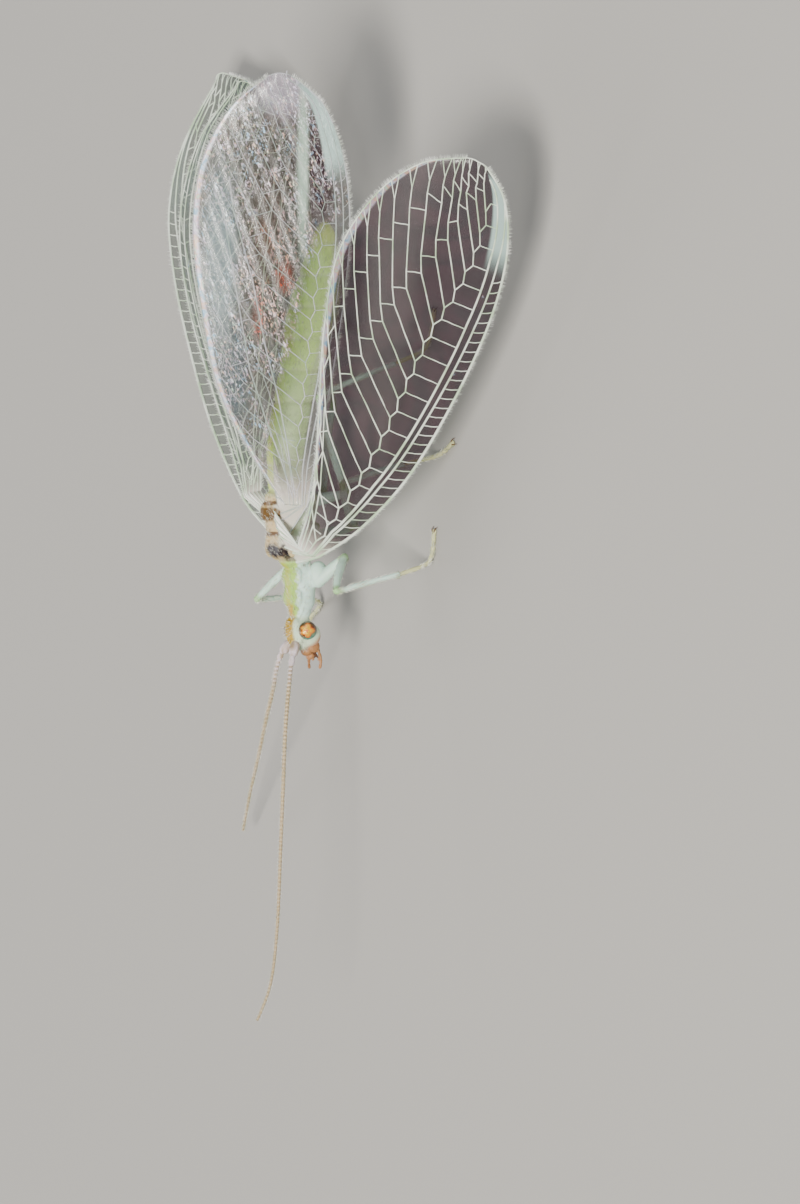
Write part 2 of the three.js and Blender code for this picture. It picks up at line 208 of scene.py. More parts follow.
def rods(name: str, lines: Sequence[Line], roundness: int = 1) -> bpy.types.Mesh:
    """Makes round rods of varying radius along lines, closed at both ends.

    Args:
        name: The mesh's name.
        lines: For each rod its points with their radii.
        roundness: The resolution of the round section.

    Returns:
        One mesh of all the rods, in millimetres.
    """
    curve = bpy.data.curves.new(name, "CURVE")
    curve.dimensions = "3D"
    curve.bevel_depth = 1.0
    curve.bevel_resolution = roundness
    curve.use_fill_caps = True
    for line in lines:
        run = curve.splines.new("POLY")
        run.points.add(len(line) - 1)
        for knot, (place, radius) in zip(run.points, line):
            knot.co = (*place, 1.0)
            knot.radius = radius
    mesh = evaluated_mesh(bpy.data.objects.new(name, curve))
    bpy.data.curves.remove(curve)
    return mesh


def add_ball(bm: bmesh.types.BMesh, centre: Point, radii: Point, lean: float = 0.0) -> None:
    """Adds an ellipsoid to a mesh.

    Args:
        bm: The mesh that gets it.
        centre: Its middle, in millimetres.
        radii: Its half sizes along X, Y and Z.
        lean: How far it is turned about the Y axis, in degrees.
    """
    turned = Matrix.Rotation(math.radians(lean), 4, "Y")
    matrix = Matrix.Translation(centre) @ turned @ Matrix.Diagonal((*radii, 1.0))
    bmesh.ops.create_uvsphere(bm, u_segments=24, v_segments=16, radius=1.0, matrix=matrix)


def add_mesh(bm: bmesh.types.BMesh, mesh: bpy.types.Mesh) -> None:
    """Adds a mesh's faces to a bmesh and removes the mesh."""
    bm.from_mesh(mesh)
    bpy.data.meshes.remove(mesh)


def finish_piece(
    bm: bmesh.types.BMesh,
    name: str,
    finish: bpy.types.Material,
    slot: Slot,
    *nodes: str,
    tint: Tint | None = None,
) -> bpy.types.Object:
    """Closes a piece, puts it in its place and hands it to the frame.

    Args:
        bm: Its mesh in millimetres, which is freed.
        name: The piece's name.
        finish: Its material.
        slot: The record's slot that the finish belongs to.
        nodes: The solids that the piece stands for.
        tint: Gives its painted colours, if it has them.

    Returns:
        The finished object, at the origin and riding on the body.
    """
    bmesh.ops.recalc_face_normals(bm, faces=bm.faces)
    mesh = bpy.data.meshes.new(name)
    bm.to_mesh(mesh)
    bm.free()
    if tint:
        paint(mesh, tint)
    return hand_over(mesh, name, finish, slot, *nodes)


def hand_over(
    mesh: bpy.types.Mesh, name: str, finish: bpy.types.Material, slot: Slot, *nodes: str
) -> bpy.types.Object:
    """Turns a mesh in millimetres into a piece of the model.

    Args:
        mesh: The mesh, with its faces pointing out.
        name: The piece's name.
        finish: Its material.
        slot: Not used.
        nodes: The solids that the piece stands for.

    Returns:
        The finished object.
    """
    mesh.transform(PLACEMENT)
    mesh.shade_smooth()
    mesh.materials.clear()
    mesh.materials.append(finish)
    piece = bpy.data.objects.new(name, mesh)
    bpy.context.scene.collection.objects.link(piece)
    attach(piece, "root")
    if nodes:
        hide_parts(*nodes)
    log.info("%s: %d faces", name, len(mesh.polygons))
    return piece


# How many sides a hair has
HAIR_SIDES = 3


@dataclass
class Strands:
    """Fine tapered hairs with their roots on a surface, joined into one mesh."""

    roots: list[Vector] = field(default_factory=list)
    tips: list[Vector] = field(default_factory=list)
    places: list[tuple[float, float]] = field(default_factory=list)
    sag: float = 0.18
    patch: float = 0.0028

    def add(self, root: Vector, tip: Vector, place: tuple[float, float]) -> None:
        """Adds one hair.

        Args:
            root: Where it starts.
            tip: Where it ends.
            place: Its root's place on the unwrap of the surface.
        """
        self.roots.append(root)
        self.tips.append(tip)
        self.places.append(place)

    def build(
        self, name: str, radius: float, finish: bpy.types.Material, slot: Slot
    ) -> bpy.types.Object:
        """Makes the hairs.

        Args:
            name: The piece's name.
            radius: A hair's radius at its root, in millimetres.
            finish: Its material.
            slot: The record's slot.

        Returns:
            The finished piece.
        """
        roots = np.array(self.roots, float)
        reach = np.array(self.tips, float) - roots
        length = np.linalg.norm(reach, axis=1, keepdims=True)
        along = reach / length
        spare = np.where(np.abs(along[:, 2:3]) < 0.9, [[0.0, 0.0, 1.0]], [[1.0, 0.0, 0.0]])
        side = np.cross(along, spare)
        side /= np.linalg.norm(side, axis=1, keepdims=True)
        other = np.cross(along, side)
        rings = []
        for share, width in ((0.0, 1.0), (0.55, 0.66)):
            bow = other * (self.sag * length * share * (1 - share))
            middle = roots + reach * share + bow
            for step in range(HAIR_SIDES):
                turn = 2 * math.pi * step / HAIR_SIDES
                offset = side * math.cos(turn) + other * math.sin(turn)
                rings.append(middle + offset * radius * width)
        corners = np.stack([*rings, roots + reach], axis=1)
        template = [(2, 1, 0), (3, 4, 6), (4, 5, 6), (5, 3, 6)]
        template += [(0, 1, 4, 3), (1, 2, 5, 4), (2, 0, 3, 5)]
        each = corners.shape[1]
        faces = [
            tuple(each * hair + corner for corner in face) for hair in range(len(roots)) for face in template
        ]
        mesh = bpy.data.meshes.new(name)
        mesh.from_pydata(corners.reshape(-1, 3).tolist(), [], faces)
        self.unwrap(mesh, each)
        return hand_over(mesh, name, finish, slot)

    def unwrap(self, mesh: bpy.types.Mesh, corners: int) -> None:
        """Gives each hair a small patch at its root's place.

        Args:
            mesh: The joined hairs.
            corners: The number of vertices of one hair.
        """
        spread = np.array([(0, 0), (1, 0), (0.5, 1), (0.2, 0.3), (0.8, 0.3), (0.5, 0.8), (0.5, 0.5)])
        vertex = np.zeros(len(mesh.loops), int)
        mesh.loops.foreach_get("vertex_index", vertex)
        places = np.clip(np.array(self.places, float), 0.0, 0.99)
        layer = mesh.uv_layers.new(name="OFBake")
        layout = places[vertex // corners] + spread[vertex % corners] * self.patch
        layer.uv.foreach_set("vector", layout.astype(np.float32).ravel())


class Shader:
    """A material or node group under construction."""

    def __init__(self, tree: bpy.types.NodeTree) -> None:
        """Starts in the given tree."""
        self.tree = tree

    def node(self, kind: str, **inputs: object) -> bpy.types.Node:
        """Adds a node of a type, without its leading ShaderNode, and fills its inputs."""
        return self.fill(self.tree.nodes.new("ShaderNode" + kind), **inputs)

    def fill(self, node: bpy.types.Node, **inputs: object) -> bpy.types.Node:
        """Sets or links a node's inputs, with _ for a space in their names."""
        for name, value in inputs.items():
            self.feed(node.inputs[name.replace("_", " ")], value)
        return node

    def feed(self, socket: bpy.types.NodeSocket, value: object) -> None:
        """Sets an input, from a display colour where the value is text, or links it to a socket."""
        if isinstance(value, bpy.types.NodeSocket):
            self.tree.links.new(value, socket)
        else:
            socket.default_value = colour(value) if isinstance(value, str) else value

    def mix(
        self, share: object, first: object, second: object, blend: str = "MIX"
    ) -> bpy.types.NodeSocket:
        """Mixes two colours.

        Args:
            share: How much of the second one shows.
            first: A colour or socket.
            second: A colour or socket.
            blend: The way of mixing.

        Returns:
            The mixed colour's socket.
        """
        made = self.tree.nodes.new("ShaderNodeMix")
        made.data_type = "RGBA"
        made.blend_type = blend
        for index, value in ((0, share), (6, first), (7, second)):
            self.feed(made.inputs[index], value)
        return made.outputs[2]

    def plain(
        self, operation: str, first: object, second: object, third: object = 0.0
    ) -> bpy.types.NodeSocket:
        """Works out a number.

        Args:
            operation: The sum's name, such as MULTIPLY.
            first: A number or socket.
            second: A number or socket.
            third: A number or socket, for sums that take three.

        Returns:
            The result's socket.
        """
        made = self.tree.nodes.new("ShaderNodeMath")
        made.operation = operation
        for socket, value in zip(made.inputs, (first, second, third)):
            self.feed(socket, value)
        return made.outputs[0]

    def math(
        self, operation: str, first: object, second: object, third: object = 0.0
    ) -> bpy.types.NodeSocket:
        """Works out a number as plain does, held between 0 and 1.

        Args:
            operation: The sum's name.
            first: A number or socket.
            second: A number or socket.
            third: A number or socket, for sums that take three.

        Returns:
            The result's socket.
        """
        result = self.plain(operation, first, second, third)
        result.node.use_clamp = True
        return result

    def product(self, first: object, *others: object) -> bpy.types.NodeSocket:
        """Multiplies numbers or sockets, held between 0 and 1."""
        for other in others:
            first = self.math("MULTIPLY", first, other)
        return first

    def ramp(self, value: bpy.types.NodeSocket, *stops: tuple[float, object]) -> bpy.types.NodeSocket:
        """Turns a number into a colour.

        Args:
            value: The number's socket.
            stops: Places from 0 to 1 with their display or linear colours.

        Returns:
            The colour's socket.
        """
        made = self.tree.nodes.new("ShaderNodeValToRGB")
        elements = made.color_ramp.elements
        while len(elements) < len(stops):
            elements.new(1.0)
        for element, (place, shade) in zip(elements, stops):
            element.position = place
            element.color = colour(shade) if isinstance(shade, str) else shade
        self.feed(made.inputs[0], value)
        return made.outputs[0]

    def span(self, value: bpy.types.NodeSocket, low: float, high: float) -> bpy.types.NodeSocket:
        """Gives a smooth mask that rises between two values, or falls where low is above high.

        Args:
            value: The number's socket.
            low: Where the mask starts.
            high: Where it reaches 1.

        Returns:
            The mask's socket.
        """
        made = self.node("MapRange", Value=value, From_Min=low, From_Max=high)
        made.interpolation_type = "SMOOTHSTEP"
        return made.outputs["Result"]

    def noise_at(
        self, place: bpy.types.NodeSocket, scale: object, detail: float = 2.0, warp: float = 0.0
    ) -> bpy.types.NodeSocket:
        """Gives noise on given coordinates, with the scale counted per unit of them."""
        made = self.node("TexNoise", Vector=place, Scale=scale, Detail=detail, Distortion=warp)
        return made.outputs["Fac"]

    def noise(self, scale: float, detail: float = 2.0, warp: float = 0.0) -> bpy.types.NodeSocket:
        """Gives noise on the piece's own coordinates, with the scale counted per metre."""
        return self.noise_at(self.node("TexCoord").outputs["Object"], scale, detail, warp)


def new_material(name: str) -> tuple[bpy.types.Material, Shader, bpy.types.Node]:
    """Starts a material.

    Args:
        name: Its name.

    Returns:
        The material, its shader builder and its Principled node.
    """
    made = bpy.data.materials.new(name)
    made.use_nodes = True
    return made, Shader(made.node_tree), made.node_tree.nodes["Principled BSDF"]


def cuticle_grain() -> bpy.types.NodeTree:
    """Builds the group for fine grained cuticle, which mottles a colour and gives a height."""
    group = bpy.data.node_groups.new("CuticleGrain", "ShaderNodeTree")
    sockets = [
        ("Colour", "INPUT", "NodeSocketColor"),
        ("Grain", "INPUT", "NodeSocketFloat"),
        ("Mottle", "INPUT", "NodeSocketFloat"),
        ("Colour", "OUTPUT", "NodeSocketColor"),
        ("Height", "OUTPUT", "NodeSocketFloat"),
        ("Wear", "OUTPUT", "NodeSocketFloat"),
    ]
    for name, way, kind in sockets:
        group.interface.new_socket(name, in_out=way, socket_type=kind)
    shader = Shader(group)
    given = group.nodes.new("NodeGroupInput")
    result = group.nodes.new("NodeGroupOutput")
    place = shader.node("TexCoord").outputs["Object"]
    broad = shader.noise(900.0, 3.0, 0.4)
    fine = shader.noise_at(place, given.outputs["Grain"], 4.0)
    cells = shader.node("TexVoronoi", Vector=place, Scale=given.outputs["Grain"])
    shade = shader.ramp(broad, (0.3, (0.72, 0.78, 0.66, 1.0)), (0.62, (1.0, 1.0, 1.0, 1.0)))
    mottled = shader.mix(given.outputs["Mottle"], given.outputs["Colour"], shade, "MULTIPLY")
    height = shader.plain("MULTIPLY_ADD", cells.outputs["Distance"], 0.5, fine)
    shader.feed(result.inputs["Colour"], mottled)
    shader.feed(result.inputs["Height"], height)
    shader.feed(result.inputs["Wear"], fine)
    return group


@dataclass(frozen=True)
class CuticleFinish:
    """Soft waxy cuticle whose colour is an attribute of the mesh, or one base colour."""

    name: str
    base: str = "cfe0c4"
    painted: bool = False
    grain: float = 16000.0
    mottle: float = 0.5
    bump: float = 0.25
    roughness: tuple[float, float] = (0.42, 0.62)
    glow: float = 0.12

    def build(self, grain_group: bpy.types.NodeTree) -> bpy.types.Material:
        """Makes the material.

        Args:
            grain_group: The shared group for grained cuticle.

        Returns:
            The material.
        """
        made, shader, surface = new_material(self.name)
        tint: object = self.base
        if self.painted:
            mark = shader.node("Attribute")
            mark.attribute_name = "Tint"
            tint = mark.outputs["Color"]
        grain = shader.node("Group")
        grain.node_tree = grain_group
        shader.fill(grain, Colour=tint, Grain=self.grain, Mottle=self.mottle)
        rough = shader.node("MapRange", Value=grain.outputs["Wear"])
        shader.fill(rough, To_Min=self.roughness[0], To_Max=self.roughness[1])
        relief = shader.node("Bump", Strength=self.bump, Distance=0.00002, Height=grain.outputs["Height"])
        shader.fill(
            surface,
            Base_Color=grain.outputs["Colour"],
            Roughness=rough.outputs["Result"],
            Normal=relief.outputs["Normal"],
            Subsurface_Weight=self.glow,
            Subsurface_Radius=(0.8, 1.0, 0.5),
            Subsurface_Scale=0.0002,
        )
        return made


@dataclass(frozen=True)
class EyeFinish:
    """Gold and orange facets over the eye's painted colours, with noise flecks of painted glints."""

    name: str = "EyeFacets"

    def build(self) -> bpy.types.Material:
        """Makes the material."""
        made, shader, surface = new_material(self.name)
        place = shader.node("TexCoord").outputs["Object"]
        facets = shader.node("TexVoronoi", Vector=place, Scale=42000.0).outputs["Distance"]
        mark = shader.node("Attribute")
        mark.attribute_name = "Tint"
        # Noise flecks of painted glints on the facets
        sparkle = shader.ramp(
            shader.noise(7000.0, 3.0, 0.8),
            (0.36, "5a1c08"),
            (0.47, "d8620c"),
            (0.56, "ffc020"),
            (0.66, "f6ffa0"),
        )
        shade = shader.mix(0.85, sparkle, mark.outputs["Color"])
        rim = shader.ramp(facets, (0.0, (1, 1, 1, 1)), (0.9, (0.55, 0.5, 0.45, 1)))
        dome = shader.math("SUBTRACT", 1.0, facets)
        relief = shader.node("Bump", Strength=0.6, Distance=0.000012, Height=dome)
        shader.fill(
            surface,
            Base_Color=shader.mix(0.8, shade, rim, "MULTIPLY"),
            Normal=relief.outputs["Normal"],
            Metallic=0.15,
            Roughness=0.24,
            Coat_Weight=0.6,
            Coat_Roughness=0.08,
        )
        return made


@dataclass(frozen=True)
class VeinFinish:
    """Pale greenish white veins, greener in places."""

    name: str
    pale: str = "e6eee2"
    green: str = "b7cfae"
    opacity: float = 1.0

    def build(self) -> bpy.types.Material:
        """Makes the material."""
        made, shader, surface = new_material(self.name)
        shade = shader.ramp(shader.noise(1500.0, 3.0), (0.38, self.green), (0.56, self.pale))
        relief = shader.node("Bump", Strength=0.4, Distance=0.00001, Height=shader.noise(30000.0))
        shader.fill(
            surface,
            Base_Color=shade,
            Normal=relief.outputs["Normal"],
            Roughness=0.42,
            Alpha=self.opacity,
        )
        return made


@dataclass(frozen=True)
class Patch:
    """A spot on a wing where light is painted in: bright reflection colours in the glitter and dark painted
    shade in the membrane's tint.

    Attributes:
        middle: Its middle, in millimetres along and across the wing.
        half: Its half sizes, in millimetres.
        code: Its display colour.
        sheen_share: How much of it the membrane's painted sheen takes.
        glint: How much of it the painted glitter takes.
        cover: How much it adds to the membrane's opacity.
    """

    middle: tuple[float, float]
    half: tuple[float, float]
    code: str
    sheen_share: float = 0.6
    glint: float = 0.4
    cover: float = 0.0


@dataclass(frozen=True)
class MembraneFinish:
    """Clear wing membrane with a tint of painted sheen and shade, crinkled painted glitter, a painted
    highlight along the trailing edge and a milky base.

    Attributes:
        name: The material's name.
        tints: Display colours of its four tints, a painted sheen whose dark shades are painted shade over the
            clear film.
        clear: The opacity of the bare film.
        glitter: How strong the painted glitter of glints is.
        glitter_from: The level of the crinkle where it starts, higher for fewer flecks.
        stigma: Where the pale stigma starts and ends along the wing, as shares.
        stigma_share: How strong the stigma is.
        calm: How much of the glitter the smooth front half loses.
        milky: How far along the wing the milky base reaches, as a share.
        rim: How strong the pale trailing edge is, a painted highlight along it.
        fine: How fine the crinkle is.
        patches: The spots of painted reflection colour and painted shade.
    """

    name: str
    tints: tuple[str, str, str, str]
    clear: float = 0.3
    glitter: float = 0.5
    glitter_from: float = 0.55
    stigma: tuple[float, float] = (0.7, 0.94)
    stigma_share: float = 1.0
    calm: float = 0.0
    milky: float = 0.1
    rim: float = 0.5
    fine: float = 190.0
    patches: tuple[Patch, ...] = ()

    def build(self) -> bpy.types.Material:
        """Makes the material."""
        made, shader, surface = new_material(self.name)
        shares, flat = (self.wing_map(shader, name) for name in ("WingMap", "WingFlat"))
        share = shader.node("SeparateXYZ", Vector=shares)
        along, across = share.outputs["X"], share.outputs["Y"]
        hinge = shader.span(along, self.milky, self.milky * 0.35 - 0.06)
        calm = self.calm_mask(shader, flat)
        stigma = self.stigma_mask(shader, along, across)
        folded = shader.node("Mapping", Vector=flat, Scale=(2.8, 1.0, 1.0), Rotation=(0, 0, -0.33))
        folded.vector_type = "TEXTURE"
        crinkle = shader.noise_at(folded.outputs["Vector"], self.fine, 4.0, 0.9)
        broad = shader.noise_at(folded.outputs["Vector"], 26.0, 3.0, 0.6)
        # The tints mixed by noise: a painted sheen whose dark shades are painted shade over the clear film
        sheen = shader.ramp(
            shader.noise_at(flat, 7.0, 2.0, 0.8), *zip((0.36, 0.46, 0.54, 0.64), self.tints)
        )
        # Pearl colours for the glitter and the trailing edge: painted reflections
        painted_pearl_sheen = shader.ramp(
            shader.noise_at(flat, 46.0, 2.0, 1.0),
            (0.36, "9fd0f4"),
            (0.44, "f6faff"),
            (0.52, "ead8f6"),
            (0.59, "ffd2b6"),
            (0.67, "d2f6df"),
        )
        cover: float | bpy.types.NodeSocket = 0.0
        # Each spot lays its painted light into the sheen and the glitter, and some make the film more opaque
        for patch in self.patches:
            mask = self.patch_mask(shader, flat, patch)
            sheen = shader.mix(shader.product(mask, patch.sheen_share), sheen, patch.code)
            painted_pearl_sheen = shader.mix(shader.product(mask, patch.glint), painted_pearl_sheen, patch.code)
            cover = shader.math("MULTIPLY_ADD", mask, patch.cover, cover)
        # Painted glints where the crinkle runs high
        flecks = shader.span(crinkle, self.glitter_from, self.glitter_from + 0.12)
        glitter = shader.product(flecks, shader.span(broad, 0.36, 0.6), self.glitter, calm)
        # A painted highlight along the trailing edge
        rim = shader.product(shader.span(across, 0.955, 0.975), self.rim)
        milk = shader.mix(shader.noise(1800.0), "ecd6d6", "dfe8cf")
        shade = shader.mix(shader.math("MAXIMUM", glitter, rim), sheen, painted_pearl_sheen)
        shade = shader.mix(hinge, shade, milk)
        shade = shader.mix(stigma, shade, "a9c2bd")
        film = shader.product(shader.math("MULTIPLY_ADD", calm, 0.75, 0.25), self.clear)
        solid = shader.math("ADD", shader.product(glitter, 0.8), film)
        solid = shader.math("ADD", solid, cover)
        for mask, weight in ((hinge, 0.62), (stigma, 0.4), (rim, 0.5)):
            solid = shader.math("ADD", solid, shader.product(mask, weight))
        relief = shader.node("Bump", Strength=0.7, Distance=0.00002, Height=crinkle)
        shader.fill(
            surface,
            Base_Color=shade,
            Alpha=solid,
            Normal=relief.outputs["Normal"],
            Roughness=0.2,
            IOR=1.56,
            Coat_Weight=0.4,
            Coat_Roughness=0.1,
        )
        return made

    def wing_map(self, shader: Shader, name: str) -> bpy.types.NodeSocket:
        """Gives the coordinates of one of the wing's own maps.

        Args:
            shader: The material's builder.
            name: The map's name.

        Returns:
            The coordinates' socket.
        """
        made = shader.node("UVMap")
        made.uv_map = name
        return made.outputs["UV"]

    def stigma_mask(
        self, shader: Shader, along: bpy.types.NodeSocket, across: bpy.types.NodeSocket
    ) -> bpy.types.NodeSocket:
        """Gives the mask of the pale stigma, at the front edge near the tip.

        Args:
            shader: The material's builder.
            along: Shares along the wing.
            across: Shares across it.

        Returns:
            The mask's socket.
        """
        first, last = self.stigma
        start = shader.span(along, first - 0.05, first + 0.03)
        end = shader.span(along, last + 0.03, last - 0.03)
        return shader.product(start, end, shader.span(across, 0.15, 0.12), self.stigma_share)

    def calm_mask(self, shader: Shader, place: bpy.types.NodeSocket) -> bpy.types.NodeSocket:
        """Gives 1 where the membrane glitters and less where it lies smooth along its front half.

        Args:
            shader: The material's builder.
            place: The coordinates of the flat map.

        Returns:
            The mask's socket.
        """
        parts = shader.node("SeparateXYZ", Vector=place)
        height = shader.plain("MULTIPLY_ADD", parts.outputs["X"], -0.218, parts.outputs["Y"])
        front = shader.span(height, (FLAT_SHIFT - 1.25) / FLAT_UNIT, (FLAT_SHIFT - 1.0) / FLAT_UNIT)
        inner = shader.span(parts.outputs["X"], 8.1 / FLAT_UNIT, 7.3 / FLAT_UNIT)
        return shader.math("SUBTRACT", 1.0, shader.product(front, inner, self.calm))

    def patch_mask(
        self, shader: Shader, place: bpy.types.NodeSocket, patch: Patch
    ) -> bpy.types.NodeSocket:
        """Gives the soft mask of a stained spot.

        Args:
            shader: The material's builder.
            place: The coordinates of the flat map.
            patch: The spot.

        Returns:
            The mask's socket.
        """
        middle = (patch.middle[0] / FLAT_UNIT, (patch.middle[1] + FLAT_SHIFT) / FLAT_UNIT, 0.0)
        size = (patch.half[0] / FLAT_UNIT, patch.half[1] / FLAT_UNIT, 1.0)
        local = shader.node("Mapping", Vector=place, Location=middle, Scale=size)
        local.vector_type = "TEXTURE"
        away = shader.node("VectorMath")
        away.operation = "LENGTH"
        shader.feed(away.inputs[0], local.outputs["Vector"])
        return shader.span(away.outputs["Value"], 1.2, 0.4)


@dataclass(frozen=True)
class HairFinish:
    """Fine glassy hair, between two shades."""

    name: str
    light: str = "f4f4ea"
    dark: str = "c9cfb4"
    roughness: float = 0.35

    def build(self) -> bpy.types.Material:
        """Makes the material."""
        made, shader, surface = new_material(self.name)
        shade = shader.ramp(shader.noise(2600.0), (0.4, self.dark), (0.6, self.light))
        shader.fill(surface, Base_Color=shade, Roughness=self.roughness)
        return made


def paint(mesh: bpy.types.Mesh, tint: Tint) -> None:
    """Stores a colour for each vertex of a mesh in millimetres.

    Args:
        mesh: The mesh, which gets the attribute Tint.
        tint: Gives a row of linear colours for rows of places and normals.
    """
    count = len(mesh.vertices)
    places, normals = np.zeros(count * 3), np.zeros(count * 3)
    mesh.vertices.foreach_get("co", places)
    mesh.vertices.foreach_get("normal", normals)
    shades = tint(places.reshape(-1, 3), normals.reshape(-1, 3))
    layer = mesh.color_attributes.new(name="Tint", type="FLOAT_COLOR", domain="POINT")
    full = np.concatenate([shades, np.ones((count, 1))], axis=1)
    layer.data.foreach_set("color", full.astype(np.float32).ravel())


def coated(count: int, base: str, coats: Coats) -> np.ndarray:
    """Lays display colours over a base colour, one after another.

    Args:
        count: The number of rows.
        base: The display colour below the others.
        coats: Display colours, each with its share for each row.

    Returns:
        Rows of linear colours.
    """
    shades = np.tile(np.array(colour(base)[:3]), (count, 1))
    for code, share in coats:
        shades = shades + (np.array(colour(code)[:3]) - shades) * share[:, None]
    return shades


@dataclass
class Leg:
    """One leg, from the hip to the claws, with radii of a real one."""

    name: str
    hip: Point
    trochanter: Point
    knee: Point
    ankle: Point
    touchdown: Point
    toe: Point
    coxa_radius: float = 0.155
    femur_radius: float = 0.11
    tibia_radius: float = 0.075
    tarsus_radius: float = 0.058

    def nodes(self, *parts: str) -> list[str]:
        """Names the leg's solids for some of its parts."""
        return [f"{self.name}_{part}" for part in parts]

    def limb(
        self, start: Vector, end: Vector, radius: float, profile: Table, bow: float = 0.06
    ) -> Line:
        """Gives the rod between two joints, raised in its middle, with shares of a radius along it."""
        rise = Vector((0.0, 0.0, bow))
        return [
            (start.lerp(end, share) + rise * math.sin(math.pi * share), radius * width)
            for share, width in profile
        ]

    def upper_lines(self) -> list[Line]:
        """Gives the rods of coxa, trochanter, femur and tibia."""
        hip, trochanter, knee, ankle = map(Vector, (self.hip, self.trochanter, self.knee, self.ankle))
        coxa = ((-0.25, 0.9), (0.1, 1.08), (0.5, 0.94), (0.85, 0.68), (1.0, 0.55))
        femur = ((-0.03, 0.8), (0.04, 1.05), (0.1, 0.9), (0.3, 1.05), (0.6, 0.95), (0.9, 0.76), (1.0, 0.82))
        tibia = ((-0.01, 1.0), (0.08, 0.86), (0.3, 0.98), (0.6, 0.94), (0.9, 0.9), (1.0, 1.0))
        return [
            self.limb(hip, trochanter, self.coxa_radius, coxa, 0.0),
            self.limb(trochanter, knee, self.femur_radius, femur),
            self.limb(knee, ankle, self.tibia_radius, tibia),
        ]

    def sole(self) -> list[Vector]:
        """Gives the middle line of the tarsus down to and along the floor."""
        ankle, touchdown, toe = map(Vector, (self.ankle, self.touchdown, self.toe))
        rest = self.tarsus_radius * 1.02
        touchdown.z = toe.z = rest
        near = ankle.lerp(touchdown, 0.82)
        near.z = max(near.z, rest + 0.04)
        flat = touchdown.lerp(toe, 0.35)
        return smooth_path([tuple(ankle), tuple(near), tuple(flat), tuple(toe)], 61)

    def tarsus_line(self) -> Line:
        """Gives the five jointed pieces of the tarsus as one rod."""
        line = self.sole()
        joints = (0.0, 0.36, 0.52, 0.66, 0.8, 1.0)
        rod: Line = []
        for start, end in zip(joints, joints[1:]):
            for share, width in ((0.02, 0.74), (0.2, 0.9), (0.8, 1.0), (0.97, 0.84)):
                index = round((start + (end - start) * share) * (len(line) - 1))
                rod.append((line[index], self.tarsus_radius * width))
        return rod

    def claw_lines(self) -> list[Line]:
        """Gives the two hooked claws at the end of the tarsus."""
        line = self.sole()
        forward = (line[-1] - line[-4]).normalized()
        side = forward.cross(Vector((0, 0, 1))).normalized()
        hooks = []
        for way in SIDES:
            hook = []
            for step in range(7):
                share = step / 6
                out = side * way * (0.03 + 0.06 * share)
                drop = Vector((0, 0, 0.035 * math.sin(math.pi * share) - 0.045 * share**2))
                place = line[-1] + forward * (0.15 * share - 0.02) + out + drop
                hook.append((place, 0.02 * (1 - share) + 0.004))
            hooks.append(hook)
        return hooks

    def grow_hair(self, strands: Strands, index: int, rng: np.random.Generator) -> None:
        """Grows fine hair along femur, tibia and tarsus.

        Args:
            strands: Where the hairs go.
            index: Which leg this is, for its strip of the unwrap.
            rng: The seeded source of chance.
        """
        _, femur, tibia = self.upper_lines()
        for part, (line, count) in enumerate(((femur, 170), (tibia, 260), (self.tarsus_line(), 190))):
            stops = np.linspace(0, 1, len(line))
            centres = np.array([place for place, _ in line])
            widths = np.array([radius for _, radius in line])
            for share in rng.uniform(0.03, 0.98, count):
                centre = Vector([np.interp(share, stops, centres[:, axis]) for axis in range(3)])
                ahead = min(len(line) - 1, int(share * (len(line) - 1)) + 1)
                along = (line[ahead][0] - line[ahead - 1][0]).normalized()
                turn = rng.uniform(0, 2 * math.pi)
                out = outward(along, turn).normalized()
                root = centre + out * np.interp(share, stops, widths) * 0.9
                tip = root + (out * 0.55 + along).normalized() * rng.uniform(0.09, 0.15)
                tip.z = max(tip.z, 0.006)
                strands.add(root, tip, ((index + turn / 7) / 6.05, (part + share * 0.9) / 3.05))


def all_legs() -> list[Leg]:
    """Gives the six legs, with their joints where the solids have them."""
    joints: dict[str, Sequence[Point]] = {
        "leg_front_left": (
            (0.95, 0.6, 2.14), (0.42, 1.08, 1.76), (1.3, 2.1, 2.58),
            (0.86, 2.42, 0.95), (0.55, 2.5, 0.2), (-0.2, 2.6, 0.2),
        ),
        "leg_front_right": (
            (0.95, -0.6, 2.14), (0.42, -1.08, 1.76), (1.5, -2.1, 2.5),
            (1.4, -2.7, 0.95), (1.57, -3.0, 0.2), (1.95, -3.65, 0.2),
        ),
        "leg_middle_left": (
            (-0.1, 0.45, 2.1), (-0.34, 0.95, 1.4), (-1.4, 1.55, 2.1),
            (-1.9, 2.6, 0.9), (-2.1, 2.9, 0.2), (-2.4, 3.5, 0.2),
        ),
        "leg_middle_right": (
            (-0.1, -0.45, 2.1), (-0.34, -0.95, 1.4), (-0.6, -2.2, 1.75),
            (-0.9, -3.1, 0.85), (-1.0, -3.4, 0.2), (-1.2, -4.1, 0.2),
        ),
        "leg_hind_left": (
            (-1.0, 0.38, 2.2), (-1.16, 0.6, 1.42), (-3.6, 0.98, 2.45),
            (-4.4, 2.15, 0.9), (-4.8, 2.35, 0.2), (-5.7, 2.6, 0.2),
        ),
        "leg_hind_right": (
            (-1.0, -0.38, 2.2), (-1.16, -0.6, 1.42), (-3.4, -0.9, 0.95),
            (-5.1, -2.0, 0.5), (-5.6, -2.25, 0.2), (-6.5, -2.6, 0.2),
        ),
    }
    return [Leg(name, *places) for name, places in joints.items()]


